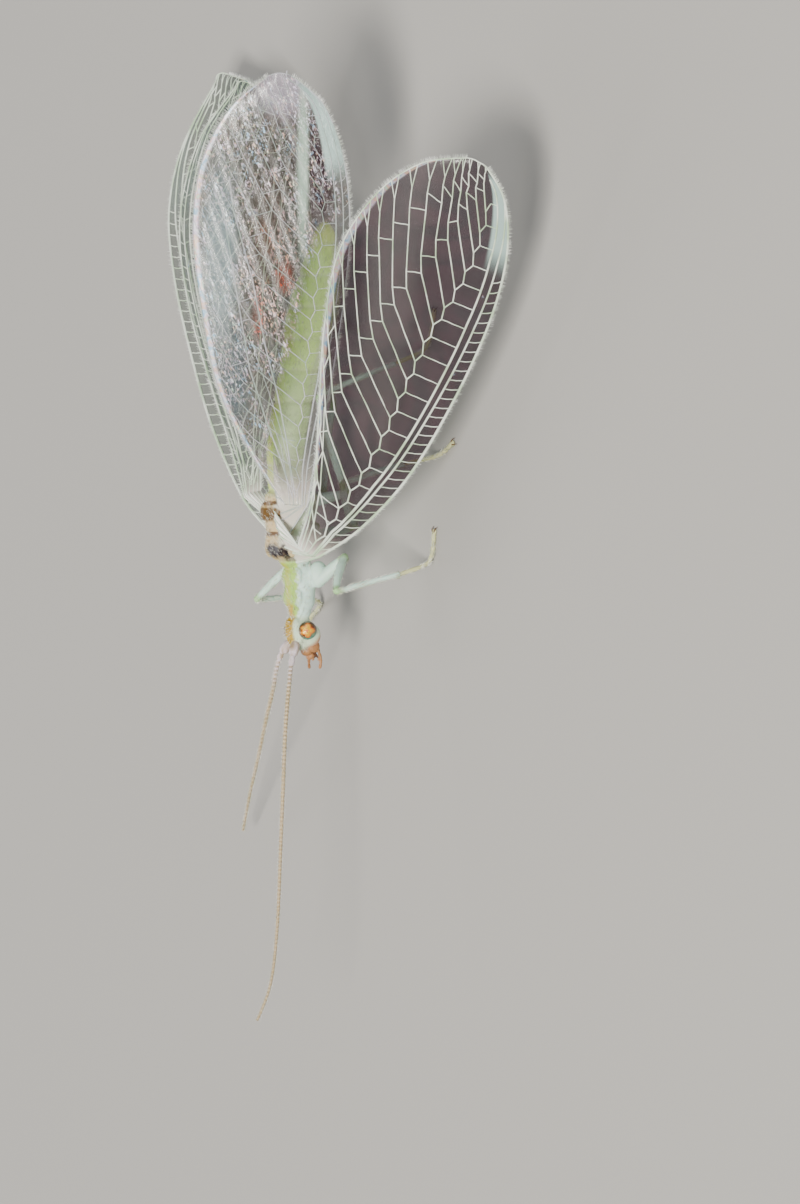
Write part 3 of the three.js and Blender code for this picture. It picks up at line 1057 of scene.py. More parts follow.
@dataclass
class Body:
    """Head, thorax, abdomen and upper legs under one skin."""

    voxel: float = 0.0285
    abdomen_front: float = -1.05
    abdomen_rear: float = -7.42
    abdomen_tip: float = -7.98
    droop: float = 1.14
    radii: tuple[float, ...] = (0.38, 0.47, 0.51, 0.5, 0.53, 0.61, 0.66, 0.54, 0.36)
    groove: float = 0.05
    head: tuple[Ball, ...] = (
        ((2.3, 0.0, 2.42), (0.38, 0.43, 0.36)),
        ((2.5, 0.0, 2.34), (0.27, 0.31, 0.28), 35),
        ((2.64, 0.0, 2.24), (0.17, 0.24, 0.17), 40),
        ((1.98, 0.0, 2.44), (0.2, 0.26, 0.25)),
    )
    head_sides: tuple[Ball, ...] = (
        ((2.17, 0.13, 2.64), (0.24, 0.16, 0.12)),
        ((2.38, 0.27, 2.24), (0.28, 0.16, 0.24)),
        ((2.26, 0.3, 2.43), (0.24, 0.1, 0.23)),
        ((2.56, 0.16, 2.58), (0.12, 0.13, 0.12)),
    )
    thorax: tuple[Ball, ...] = (
        ((1.78, 0.0, 2.43), (0.24, 0.3, 0.28)),
        ((1.2, 0.0, 2.42), (0.7, 0.42, 0.37)),
        ((1.5, 0.0, 2.42), (0.36, 0.41, 0.36)),
        ((0.86, 0.0, 2.43), (0.4, 0.45, 0.38)),
        ((1.42, 0.0, 2.64), (0.3, 0.42, 0.14)),
        ((0.9, 0.0, 2.66), (0.32, 0.45, 0.15)),
        ((0.4, 0.0, 2.58), (0.36, 0.43, 0.42)),
        ((0.03, 0.0, 2.74), (0.52, 0.58, 0.48)),
        ((-0.42, 0.0, 2.86), (0.45, 0.55, 0.48)),
        ((-0.84, 0.0, 2.86), (0.46, 0.55, 0.48)),
        ((-0.32, 0.0, 3.18), (0.19, 0.3, 0.16)),
        ((-1.05, 0.0, 3.24), (0.17, 0.26, 0.14)),
    )
    thorax_sides: tuple[Ball, ...] = (
        ((0.86, 0.46, 2.16), (0.34, 0.22, 0.25)),
        ((0.24, 0.15, 2.99), (0.27, 0.25, 0.2)),
        ((0.0, 0.25, 3.03), (0.37, 0.26, 0.2)),
        ((-0.73, 0.24, 3.22), (0.27, 0.23, 0.17)),
        ((0.06, 0.42, 2.6), (0.42, 0.22, 0.44), -15),
        ((-0.76, 0.38, 2.6), (0.38, 0.2, 0.42), -15),
        ((0.16, 0.56, 2.96), (0.28, 0.14, 0.14)),
        ((-0.7, 0.53, 3.02), (0.26, 0.13, 0.13)),
    )
    spots: tuple[Spot, ...] = (
        ((0.24, 0.0, 2.98), (0.25, 0.6, 0.3), "180610", 1.0),
        ((0.47, 0.0, 2.8), (0.09, 0.5, 0.2), "4e2a22", 0.75),
        ((-0.15, 0.0, 3.28), (0.06, 0.5, 0.24), "4a2418", 0.85),
        ((-0.64, 0.0, 3.36), (0.18, 0.62, 0.24), "644400", 1.0),
        ((-0.92, 0.0, 3.34), (0.06, 0.5, 0.22), "5a3408", 0.85),
    )
    side_spots: tuple[Spot, ...] = (
        ((0.62, 0.4, 2.52), (0.05, 0.07, 0.06), "4a3a24", 0.7),
        ((2.4, 0.36, 2.18), (0.2, 0.1, 0.05), "6e2f24", 0.7),
        ((2.52, 0.3, 2.26), (0.14, 0.14, 0.05), "6e3420", 0.8),
    )

    def axis_height(self, x: np.ndarray) -> np.ndarray:
        """Gives the height of the body's middle line."""
        return BODY_HEIGHT + 0.06 - self.droop * smoothstep(-np.asarray(x, float), 1.5, 8.0)

    def add_balls(self, bm: bmesh.types.BMesh) -> None:
        """Adds the ellipsoids of head and thorax, those of the flanks on both sides."""
        for row in (*self.head, *mirrored(self.head_sides), *self.thorax, *mirrored(self.thorax_sides)):
            add_ball(bm, *row)

    def abdomen_profile(self) -> list[tuple[float, float]]:
        """Gives places along X with radii, with a groove after each ring and a domed end."""
        rings = len(self.radii) - 1
        pitch = (self.abdomen_rear - self.abdomen_front) / rings
        profile = [(self.abdomen_front + 0.1, 0.0)]
        for ring in range(rings):
            first, second = self.radii[ring], self.radii[ring + 1]
            for share, sunk in ((0.0, self.groove), (0.05, 0.03), (0.14, 0.0), (0.5, -0.012), (0.9, 0.0)):
                radius = first + (second - first) * share - sunk
                profile.append((self.abdomen_front + pitch * (ring + share), radius))
        end = self.abdomen_tip - self.abdomen_rear
        for share, radius in ((0.0, 0.3), (0.15, 0.31), (0.5, 0.27), (0.8, 0.17), (0.95, 0.08), (1.0, 0.0)):
            profile.append((self.abdomen_rear + end * share, radius))
        return profile

    def add_abdomen(self, bm: bmesh.types.BMesh) -> None:
        """Spins the abdomen's profile round the body's middle line and bends it down.

        Args:
            bm: The mesh that gets it, with nothing else in it yet.
        """
        corners = [bm.verts.new((x, 0.0, radius)) for x, radius in self.abdomen_profile()]
        edges = [bm.edges.new(pair) for pair in zip(corners, corners[1:])]
        bmesh.ops.spin(
            bm,
            geom=corners + edges,
            cent=(0, 0, 0),
            axis=(1, 0, 0),
            angle=2 * math.pi,
            steps=40,
            use_merge=True,
        )
        bmesh.ops.remove_doubles(bm, verts=bm.verts, dist=SEAM)
        for corner in bm.verts:
            side = math.atan2(corner.co.y, corner.co.z)
            fold = 1 - 0.045 * math.exp(-(((abs(side) - 1.9) / 0.16) ** 2))
            corner.co.y *= fold * 0.97
            corner.co.z = corner.co.z * fold + float(self.axis_height(corner.co.x))

    def waist(self, x: np.ndarray) -> np.ndarray:
        """Gives 1 on the abdomen and 0 ahead of it."""
        return smoothstep(x, -0.95, -1.35)

    def tint(self, places: np.ndarray, normals: np.ndarray) -> np.ndarray:
        """Works out the skin's markings.

        Args:
            places: Vertices in millimetres.
            normals: Their normals.

        Returns:
            Linear colours.
        """
        x, y, z = places.T
        blotch = 0.12 * np.sin(x * 23 + y * 11) * np.sin(y * 19 - z * 13) + 0.05 * np.sin(x * 57 + z * 41)
        coats = self.abdomen_coats(places, normals[:, 2])
        coats += self.thorax_coats(places, blotch)
        coats += self.head_coats(places, blotch)
        coats += self.leg_coats(places)
        return coated(len(places), "ccf08e", coats)

    def abdomen_coats(self, places: np.ndarray, upward: np.ndarray) -> Coats:
        """Gives the abdomen's colours: pale below, a stripe along the back and pale ring ends.

        Args:
            places: Vertices in millimetres.
            upward: How far each one faces up.

        Returns:
            Display colours with their shares.
        """
        x, y, _ = places.T
        abdomen = self.waist(x)
        stripe = np.exp(-((y / 0.16) ** 2)) * (upward > 0.2)
        bloom = abdomen * smoothstep(np.abs(y), 0.1, 0.34) * smoothstep(x, -5.2, -2.2)
        bloom = bloom * smoothstep(upward, -0.4, 0.2)
        rings = (x - self.abdomen_front) / ((self.abdomen_rear - self.abdomen_front) / 8)
        join = np.exp(-(((rings - np.round(rings)) / 0.07) ** 2)) * abdomen
        return [
            ("eef6e0", abdomen * smoothstep(upward, 0.1, -0.7) * 0.8),
            ("b2de62", abdomen * smoothstep(upward, 0.45, 0.95) * 0.7),
            ("ccd236", abdomen * stripe * smoothstep(x, -5.5, -1.5) * 0.7),
            ("e6f4d8", bloom * 0.6),
            ("d0de70", smoothstep(x, -7.0, -7.8) * 0.7),
            ("d6e8b0", join * 0.45),
        ]

    def thorax_coats(self, places: np.ndarray, blotch: np.ndarray) -> Coats:
        """Gives the thorax's colours: a green and yellow prothorax, a beige back and its spots.

        Args:
            places: Vertices in millimetres.
            blotch: The unevenness of the markings' borders.

        Returns:
            Display colours with their shares.
        """
        x, y, z = places.T
        thorax = 1 - self.waist(x)
        around = np.arctan2(np.abs(y), z - 2.44)
        neck = smoothstep(x, 0.42, 0.62)
        back = smoothstep(around + blotch, 1.05, 0.75)
        collar = neck * smoothstep(around + blotch, 0.7, 0.3) * smoothstep(x, 1.45, 1.8)
        middle = thorax * (1 - neck) * smoothstep(z + blotch * 0.5, 2.85, 3.0)
        coats = [
            ("d6e4c8", thorax),
            ("d2efe6", neck * (1 - back) * 0.95),
            ("a6cc50", neck * back * 0.95),
            ("b8b424", neck * smoothstep(around + blotch, 0.5, 0.1) * 0.65),
            ("c98408", collar * 0.7),
            ("d2b98c", middle),
            ("80602a", middle * smoothstep(blotch, 0.05, 0.12) * 0.6),
            ("dcd8cc", middle * smoothstep(y, 0.22, 0.4) * smoothstep(x, 0.35, 0.1)),
        ]
        for spot, size, code, share in (*self.spots, *mirrored(self.side_spots)):
            away = np.linalg.norm((places - np.array(spot)) / np.array(size), axis=1) + blotch * 0.8
            coats.append((code, smoothstep(away, 1.15, 0.8) * share))
        return coats

    def head_coats(self, places: np.ndarray, blotch: np.ndarray) -> Coats:
        """Gives the head's colours: pale green with a yellow crown and an orange brown face.

        Args:
            places: Vertices in millimetres.
            blotch: The unevenness of the markings' borders.

        Returns:
            Display colours with their shares.
        """
        x, y, z = places.T
        head = smoothstep(x, 1.86, 1.98)
        crown = head * smoothstep(z + blotch * 0.4, 2.6, 2.7) * smoothstep(np.abs(y), 0.24, 0.14)
        face = head * smoothstep(x + (2.4 - z), 2.62, 2.85)
        return [("cfe0c6", head), ("b89000", crown), ("c27a55", face * 0.85)]

    def leg_coats(self, places: np.ndarray) -> Coats:
        """Gives the legs' mint colour, greener at the joints.

        Args:
            places: Vertices in millimetres.

        Returns:
            Display colours with their shares.
        """
        x, y, z = places.T
        wide = np.abs(y)
        low = smoothstep(z - self.axis_height(x), -0.6, -0.68) * smoothstep(x, 2.0, 1.8)
        front = smoothstep(wide, 0.49, 0.54) * smoothstep(x, 0.5, 0.56) * smoothstep(x, 1.9, 1.8)
        beside = smoothstep(wide, 0.72, 0.78) * smoothstep(x, 2.0, 1.8)
        coats = [("d0eee0", np.maximum(np.maximum(low, front), beside))]
        for leg in all_legs():
            for joint in (leg.knee, leg.trochanter):
                away = np.linalg.norm(places - np.array(joint), axis=1)
                coats.append(("8fbf5c", smoothstep(away, 0.26, 0.1) * 0.7))
        return coats

    def fused(self) -> bpy.types.Mesh:
        """Fuses the forms under one closed skin."""
        bm = bmesh.new()
        self.add_abdomen(bm)
        self.add_balls(bm)
        lines = [line for leg in all_legs() for line in leg.upper_lines()]
        add_mesh(bm, rods("UpperLegs", lines, 3))
        bmesh.ops.remove_doubles(bm, verts=bm.verts, dist=SEAM)
        bmesh.ops.recalc_face_normals(bm, faces=bm.faces)
        rough = bpy.data.meshes.new("RoughSkin")
        bm.to_mesh(rough)
        bm.free()
        carrier = bpy.data.objects.new("RoughSkin", rough)
        fuse = carrier.modifiers.new("Fuse", "REMESH")
        fuse.mode = "VOXEL"
        fuse.voxel_size = self.voxel
        return evaluated_mesh(carrier)

    def build(self, finish: bpy.types.Material) -> bpy.types.Object:
        """Smooths and paints the skin.

        Args:
            finish: The skin's material.

        Returns:
            The finished skin.
        """
        bm = bmesh.new()
        add_mesh(bm, self.fused())
        for _ in range(2):
            bmesh.ops.smooth_vert(
                bm, verts=bm.verts, factor=0.5, use_axis_x=True, use_axis_y=True, use_axis_z=True
            )
        covered = ["head", "prothorax", "mesothorax", "metathorax", "abdomen", "abdomen_tip"]
        for leg in all_legs():
            covered += leg.nodes("coxa", "femur", "tibia")
        return finish_piece(bm, "skin", finish, Slot.BODY, *covered, tint=self.tint)

    def grow_hair(self, skin: bpy.types.Object, finish: bpy.types.Material) -> bpy.types.Object:
        """Grows short hair on head, thorax and abdomen.

        Args:
            skin: The finished skin.
            finish: The hair's material.

        Returns:
            The hair as one piece.
        """
        rng = np.random.default_rng(11)
        back = PLACEMENT.inverted()
        vertices = skin.data.vertices
        strands = Strands()
        for index in rng.choice(len(vertices), 15000, replace=False):
            place = back @ vertices[int(index)].co
            normal = vertices[int(index)].normal
            height = place.z - float(self.axis_height(np.float64(place.x)))
            offset = math.hypot(place.y, height)
            if offset > 0.74 or (height < -0.5 and place.x > -1.2):
                continue
            front = place.x > 0.55
            if rng.random() > (0.5 if front or place.x < -6.6 else 0.3):
                continue
            length = rng.uniform(0.07, 0.13) * (1.25 if front and normal.z > 0.2 else 1.0)
            lie = Vector((0.35 if place.x > 2.0 else -0.9, 0.0, -0.1))
            tip = place + (normal * 0.9 + lie).normalized() * length
            around = (math.atan2(place.y, height) / (2 * math.pi)) % 1.0
            strands.add(place - normal * 0.01, tip, ((3.0 - place.x) / 11.2, around * 0.98))
        return strands.build("hair_body", 0.006, finish, Slot.BODY)


@dataclass
class Feet:
    """The jointed tarsi with their claws, and the hair of the legs."""

    def build(self, skin_finish: bpy.types.Material, claw_finish: bpy.types.Material) -> None:
        """Makes the tarsi and the claws.

        Args:
            skin_finish: The tarsi's material.
            claw_finish: The claws' material.
        """
        legs = all_legs()
        bm = bmesh.new()
        add_mesh(bm, rods("tarsi", [leg.tarsus_line() for leg in legs], 3))
        bmesh.ops.remove_doubles(bm, verts=bm.verts, dist=SEAM)
        for leg in legs:
            end = leg.sole()[-1]
            add_ball(bm, (end.x, end.y, 0.05), (0.075, 0.075, 0.045))
        soles = [name for leg in legs for name in leg.nodes("foot")]
        finish_piece(bm, "tarsi", skin_finish, Slot.LIMBS, *soles)
        bm = bmesh.new()
        add_mesh(bm, rods("claws", [hook for leg in legs for hook in leg.claw_lines()], 2))
        finish_piece(bm, "claws", claw_finish, Slot.LIMBS)

    def grow_hair(self, finish: bpy.types.Material) -> None:
        """Grows the legs' hair as one piece.

        Args:
            finish: The hair's material.
        """
        rng = np.random.default_rng(23)
        strands = Strands()
        for index, leg in enumerate(all_legs()):
            leg.grow_hair(strands, index, rng)
        strands.build("hair_legs", 0.006, finish, Slot.LIMBS)


@dataclass
class Eyes:
    """Two bulging faceted eyes."""

    middle: Point = (2.26, 0.37, 2.42)
    radii: Point = (0.235, 0.21, 0.24)
    # The fixed axis that the eye's painted reflection faces, out to the side and up
    glint_axis: Point = (0.02, 0.88, 0.46)

    def tint(self, places: np.ndarray, normals: np.ndarray) -> np.ndarray:
        """Colours the eye's middle as a pale and gold star in red brown, darker and teal at the rim; the star
        is a painted reflection round a fixed axis, and the darker and teal rim is painted shade and
        reflection colour.

        Args:
            places: Vertices in millimetres.
            normals: Their normals.

        Returns:
            Linear colours.
        """
        count = len(places)
        ahead, out, up = self.glint_axis
        glint_axis = np.column_stack([np.full(count, ahead), out * np.sign(places[:, 1]), np.full(count, up)])
        turned = np.degrees(np.arccos(np.clip((normals * glint_axis).sum(axis=1), -1, 1)))
        ray = np.arctan2(normals[:, 2] - up, normals[:, 0])
        turned += 9 * np.sin(ray * 5) * smoothstep(turned, 5, 25)
        low = smoothstep(normals[:, 0] - 0.5 * normals[:, 2], 0.2, 0.7)
        # Painted reflection round the axis, with painted shade towards the rim
        coats = [
            ("ffc81e", smoothstep(turned, 6, 13)),
            ("ff8a10", smoothstep(turned, 24, 34)),
            ("5a1006", smoothstep(turned, 36, 46)),
            ("16240c", smoothstep(turned, 50, 62)),
            ("0c9c86", smoothstep(turned, 38, 50) * low),
        ]
        return coated(count, "ff7a5a", coats)

    def build(self, finish: bpy.types.Material) -> None:
        """Makes both eyes from a finely faceted ball."""
        for name, side in zip(("eye_left", "eye_right"), SIDES):
            bm = bmesh.new()
            x, y, z = self.middle
            matrix = Matrix.Translation((x, y * side, z)) @ Matrix.Diagonal((*self.radii, 1.0))
            bmesh.ops.create_icosphere(bm, subdivisions=5, radius=1.0, matrix=matrix)
            finish_piece(bm, f"{name}_facets", finish, Slot.EYES, name, tint=self.tint)


@dataclass
class Mouthparts:
    """Upper lip, mandibles and two pairs of jointed palps."""

    lip: tuple[Ball, ...] = (
        ((2.74, 0.0, 2.22), (0.15, 0.2, 0.17), 50),
        ((2.87, 0.0, 2.12), (0.1, 0.15, 0.14), 55),
        ((2.7, 0.0, 2.06), (0.15, 0.15, 0.15)),
    )
    cheek: Ball = ((2.66, 0.2, 2.14), (0.16, 0.09, 0.16), 40)
    upper_palp: tuple[Point, ...] = (
        (2.7, 0.18, 2.06), (2.82, 0.26, 2.02), (2.96, 0.3, 2.0), (3.09, 0.3, 2.0), (3.22, 0.26, 2.01),
    )
    lower_palp: tuple[Point, ...] = (
        (2.68, 0.08, 1.96), (2.8, 0.12, 1.94), (2.91, 0.15, 1.95), (3.02, 0.14, 1.98),
    )
    mandible: tuple[Point, ...] = (
        (2.76, 0.18, 2.18), (2.88, 0.18, 2.07), (2.93, 0.1, 1.98), (2.91, 0.0, 1.96),
    )

    def palp(self, places: Sequence[Point], radius: float) -> Line:
        """Gives one beaded palp.

        Args:
            places: Its root and its further joints.
            radius: Its radius in the middle of a joint.

        Returns:
            The rod.
        """
        joints = [Vector(place) for place in places]
        rod: Line = []
        for index, (start, end) in enumerate(zip(joints, joints[1:])):
            last = index == len(joints) - 2
            for share, width in ((0.03, 0.7), (0.3, 1.0), (0.75, 1.0), (0.97, 0.35 if last else 0.75)):
                rod.append((start.lerp(end, share), radius * width))
        return rod

    def build(self, finish: bpy.types.Material, claw_finish: bpy.types.Material) -> None:
        """Makes the mouthparts.

        Args:
            finish: The soft parts' material.
            claw_finish: The mandibles' material.
        """
        bm = bmesh.new()
        for row in (*self.lip, *mirrored([self.cheek])):
            add_ball(bm, *row)
        palps, hooks = [], []
        for side in SIDES:
            palps.append(self.palp(flipped(self.upper_palp, side), 0.04))
            palps.append(self.palp(flipped(self.lower_palp, side), 0.032))
            hook = smooth_path(flipped(self.mandible, side), 9)
            hooks.append([(place, 0.05 * (1 - 0.75 * i / 8)) for i, place in enumerate(hook)])
        add_mesh(bm, rods("palps", palps, 2))
        finish_piece(bm, "mouth", finish, Slot.MOUTHPARTS, "mouthparts")
        bm = bmesh.new()
        add_mesh(bm, rods("mandibles", hooks, 2))
        finish_piece(bm, "mandibles", claw_finish, Slot.MOUTHPARTS)


@dataclass
class Feeler:
    """One long thread-like antenna of many rings."""

    name: str
    route: tuple[Point, ...]
    rings: int = 96
    root_radius: float = 0.058
    tip_radius: float = 0.034
    scape_radius: float = 0.125
    scape_share: float = 0.045
    scape_profile: Table = (
        (0.0, 0.6), (0.15, 0.95), (0.5, 1.05), (0.8, 0.95), (0.97, 0.5), (1.05, 0.55), (1.25, 0.68),
        (1.5, 0.55),
    )

    def nodes(self) -> list[str]:
        """Names the antenna's solids."""
        return [f"{self.name}_{part}" for part in ("scape", "1", "2", "3")]

    def width(self, share: float) -> float:
        """Gives the flagellum's radius at a share of its length."""
        return self.root_radius + (self.tip_radius - self.root_radius) * share

    def lines(self) -> list[Line]:
        """Gives the rods of the scape and pedicel and of the ringed flagellum."""
        path = smooth_path(self.route, self.rings * 4 + 1)
        last = len(path) - 1
        scape = []
        for share, width in self.scape_profile:
            scape.append((path[round(share * self.scape_share * last)], self.scape_radius * width))
        thread: Line = []
        first = round(self.scape_share * 1.3 * self.rings)
        for ring in range(first, self.rings):
            for step, width in ((0, 0.84), (1, 0.98), (3, 1.08)):
                index = ring * 4 + step
                thread.append((path[index], self.width(index / last) * width))
        return [scape, thread]

    def grow_hair(self, strands: Strands, index: int, rng: np.random.Generator) -> None:
        """Grows whorls of fine hair on each ring.

        Args:
            strands: Where the hairs go.
            index: Which antenna this is, for its half of the unwrap.
            rng: The seeded source of chance.
        """
        path = smooth_path(self.route, self.rings * 4 + 1)
        for ring in range(3, self.rings):
            for step in range(9):
                spot = ring * 4 + int(rng.integers(0, 3))
                along = (path[spot + 1] - path[spot]).normalized()
                turn = 2 * math.pi * (step + rng.uniform(0, 0.8)) / 9
                out = outward(along, turn)
                root = path[spot] + out * self.width(ring / self.rings) * 0.9
                tip = root + (out * 0.8 + along).normalized() * rng.uniform(0.06, 0.11)
                strands.add(root, tip, ((index + turn / 7) / 2.05, ring / (self.rings + 2)))


@dataclass
class Antennae:
    """Both antennae: the left one straight ahead, the right one swung down and outwards."""

    left: tuple[Point, ...] = (
        (2.54, 0.17, 2.6), (2.82, 0.24, 2.76), (3.4, 0.36, 2.92), (4.7, 0.45, 3.1), (6.2, 0.61, 3.26),
        (7.7, 0.75, 3.41), (9.6, 0.85, 3.56), (11.05, 0.85, 3.75), (12.0, 0.8, 4.12),
    )
    right: tuple[Point, ...] = (
        (2.54, -0.17, 2.6), (2.86, -0.34, 2.78), (3.32, -0.7, 2.73), (3.7, -1.15, 2.54), (4.5, -2.17, 2.17),
        (5.4, -3.45, 1.66), (6.35, -4.8, 1.14), (7.35, -6.1, 0.62),
    )

    def tint(self, places: np.ndarray, normals: np.ndarray) -> np.ndarray:
        """Colours the scapes lilac white and the threads beige, darker at each ring's end.

        Args:
            places: Vertices in millimetres.
            normals: Not used.

        Returns:
            Linear colours.
        """
        scape = smoothstep(places[:, 0], 3.9, 3.2)
        rings = 0.5 + 0.5 * np.sin(places[:, 0] * 62)
        return coated(len(places), "c9b694", [("e4d6e2", scape), ("9c8460", rings)])

    def build(self, finish: bpy.types.Material, hair: bpy.types.Material) -> None:
        """Makes the antennae and their hair.

        Args:
            finish: The threads' material.
            hair: The hair's material.
        """
        rng = np.random.default_rng(37)
        strands = Strands()
        for index, (name, route) in enumerate((("antenna_left", self.left), ("antenna_right", self.right))):
            feeler = Feeler(name, route)
            bm = bmesh.new()
            add_mesh(bm, rods(name, feeler.lines(), 2))
            finish_piece(bm, f"{name}_thread", finish, Slot.ANTENNAE, *feeler.nodes(), tint=self.tint)
            feeler.grow_hair(strands, index, rng)
        strands.build("hair_antennae", 0.005, hair, Slot.ANTENNAE)


@dataclass(frozen=True)
class Venation:
    """How a wing's veins run, in millimetres along and across it.

    Attributes:
        subcosta_gap: How far the subcosta keeps from the front edge.
        radius_gap: How far the radius keeps from it.
        stem: How high the zigzag stem runs.
        scale: The size of the net against a forewing's.
        branches: How many branches leave the stem.
        first: Where the first one leaves it.
        pitch: How far apart they leave it.
        costal_rungs: How many rungs lie between front edge and subcosta.
        rims: Where the branches reach the edge, as shares, by where they leave the stem.
        bend: How a branch drops, as a share of its drop by a share of its run.
        thickness: The veins' thickness against their given radii.
        long_veins: The long veins behind the stem.
    """

    subcosta_gap: Table
    radius_gap: Table
    stem: Table
    scale: float = 1.0
    branches: int = 19
    first: float = 0.75
    pitch: float = 0.61
    costal_rungs: int = 31
    rims: Table = (
        (0.7, 0.177), (1.8, 0.315), (3.0, 0.447), (4.2, 0.565), (5.4, 0.668), (6.6, 0.755), (7.83, 0.87),
        (8.37, 0.915), (9.03, 0.95), (9.7, 0.98), (10.32, 1.005), (11.0, 1.05), (11.8, 1.1),
    )
    bend: Table = ((0.0, 0.0), (0.28, 0.46), (0.39, 0.545), (0.67, 0.77), (0.77, 0.83), (1.0, 1.0))
    thickness: float = 1.0
    long_veins: tuple[Table, ...] = ()


FORE_VENATION = Venation(
    subcosta_gap=((0.3, 0.12), (1.2, 0.36), (3.0, 0.42), (5.5, 0.37), (8.5, 0.3), (10.5, 0.2), (12.1, 0.02)),
    radius_gap=((0.3, 0.17), (1.2, 0.45), (3.0, 0.56), (5.5, 0.53), (8.5, 0.5), (10.5, 0.4), (12.6, 0.16)),
    stem=(
        (0.3, 0.0), (1.5, 0.14), (3.0, 0.3), (4.5, 0.34), (6.0, 0.27),
        (7.8, 0.22), (9.0, 0.33), (10.3, 0.37), (11.7, 0.16), (12.6, -0.1),
    ),
    thickness=0.84,
)
HIND_VENATION = Venation(
    subcosta_gap=((0.3, 0.08), (1.2, 0.16), (3.0, 0.19), (5.5, 0.18), (8.5, 0.15), (10.0, 0.1), (10.9, 0.02)),
    radius_gap=((0.3, 0.13), (1.2, 0.27), (3.0, 0.34), (5.5, 0.35), (8.5, 0.34), (10.0, 0.28), (11.4, 0.12)),
    stem=(
        (0.3, 0.02), (1.5, -0.06), (3.0, 0.08), (4.5, 0.24), (6.0, 0.42),
        (7.8, 0.58), (9.0, 0.52), (10.3, 0.12), (11.3, -0.25),
    ),
    scale=0.9,
    branches=18,
    costal_rungs=26,
    thickness=0.52,
    long_veins=(
        ((0.5, -0.05), (2.0, -0.28), (3.2, -0.51), (4.3, -0.79), (6.1, -1.14), (7.9, -1.63), (8.7, -1.72)),
        ((0.5, -0.12), (1.5, -0.42), (2.4, -0.76), (3.8, -1.2), (5.9, -1.55), (7.6, -1.83), (8.75, -2.2)),
    ),
)

FORE_COSTAL = (
    (0.3, 0.3), (1.6, 0.9), (3.6, 1.38), (6.2, 1.54), (8.8, 1.46), (10.8, 1.1), (12.2, 0.45), (12.85, -0.3),
)
FORE_TRAILING = (
    (0.3, -0.3), (1.9, -0.55), (4.0, -1.25), (6.4, -2.1),
    (8.7, -2.64), (10.7, -2.45), (12.1, -1.8), (12.85, -0.85),
)
HIND_COSTAL = (
    (0.3, 0.25), (1.8, 0.5), (3.6, 0.85), (5.6, 1.14), (7.4, 1.28), (9.1, 1.12), (10.5, 0.62), (11.25, -0.18),
)
HIND_TRAILING = (
    (0.3, -0.3), (1.7, -1.2), (3.3, -1.98), (5.3, -2.4),
    (7.3, -2.62), (9.0, -2.42), (10.4, -1.72), (11.25, -0.75),
)
FORE_RIGHT_COSTAL = (
    (0.3, 0.3), (1.6, 0.92), (3.9, 1.42), (6.4, 1.64), (8.4, 1.67), (10.1, 1.45), (11.6, 0.7), (12.88, -0.65),
)
FORE_RIGHT_TRAILING = (
    (0.3, -0.3), (1.9, -0.55), (4.0, -1.25), (6.4, -2.1),
    (8.7, -2.64), (10.7, -2.45), (12.1, -1.88), (12.88, -1.05),
)
HIND_RIGHT_COSTAL = (
    (0.3, 0.25), (1.8, 0.52), (3.6, 0.92), (5.6, 1.3), (7.5, 1.42), (8.9, 1.18), (10.3, 0.45), (11.25, -0.75),
)
HIND_RIGHT_TRAILING = (
    (0.3, -0.25), (1.7, -0.5), (3.3, -1.6), (5.3, -2.3),
    (7.3, -2.62), (9.0, -2.46), (10.4, -1.9), (11.25, -1.15),
)


# Radii of the net's rungs and of the branches' forks, in millimetres
RUNG_RADIUS = 0.017
PRONG_RADIUS = 0.016
# A wing's first rods run round its edge and grow no hair of their own
EDGE_RODS = 3


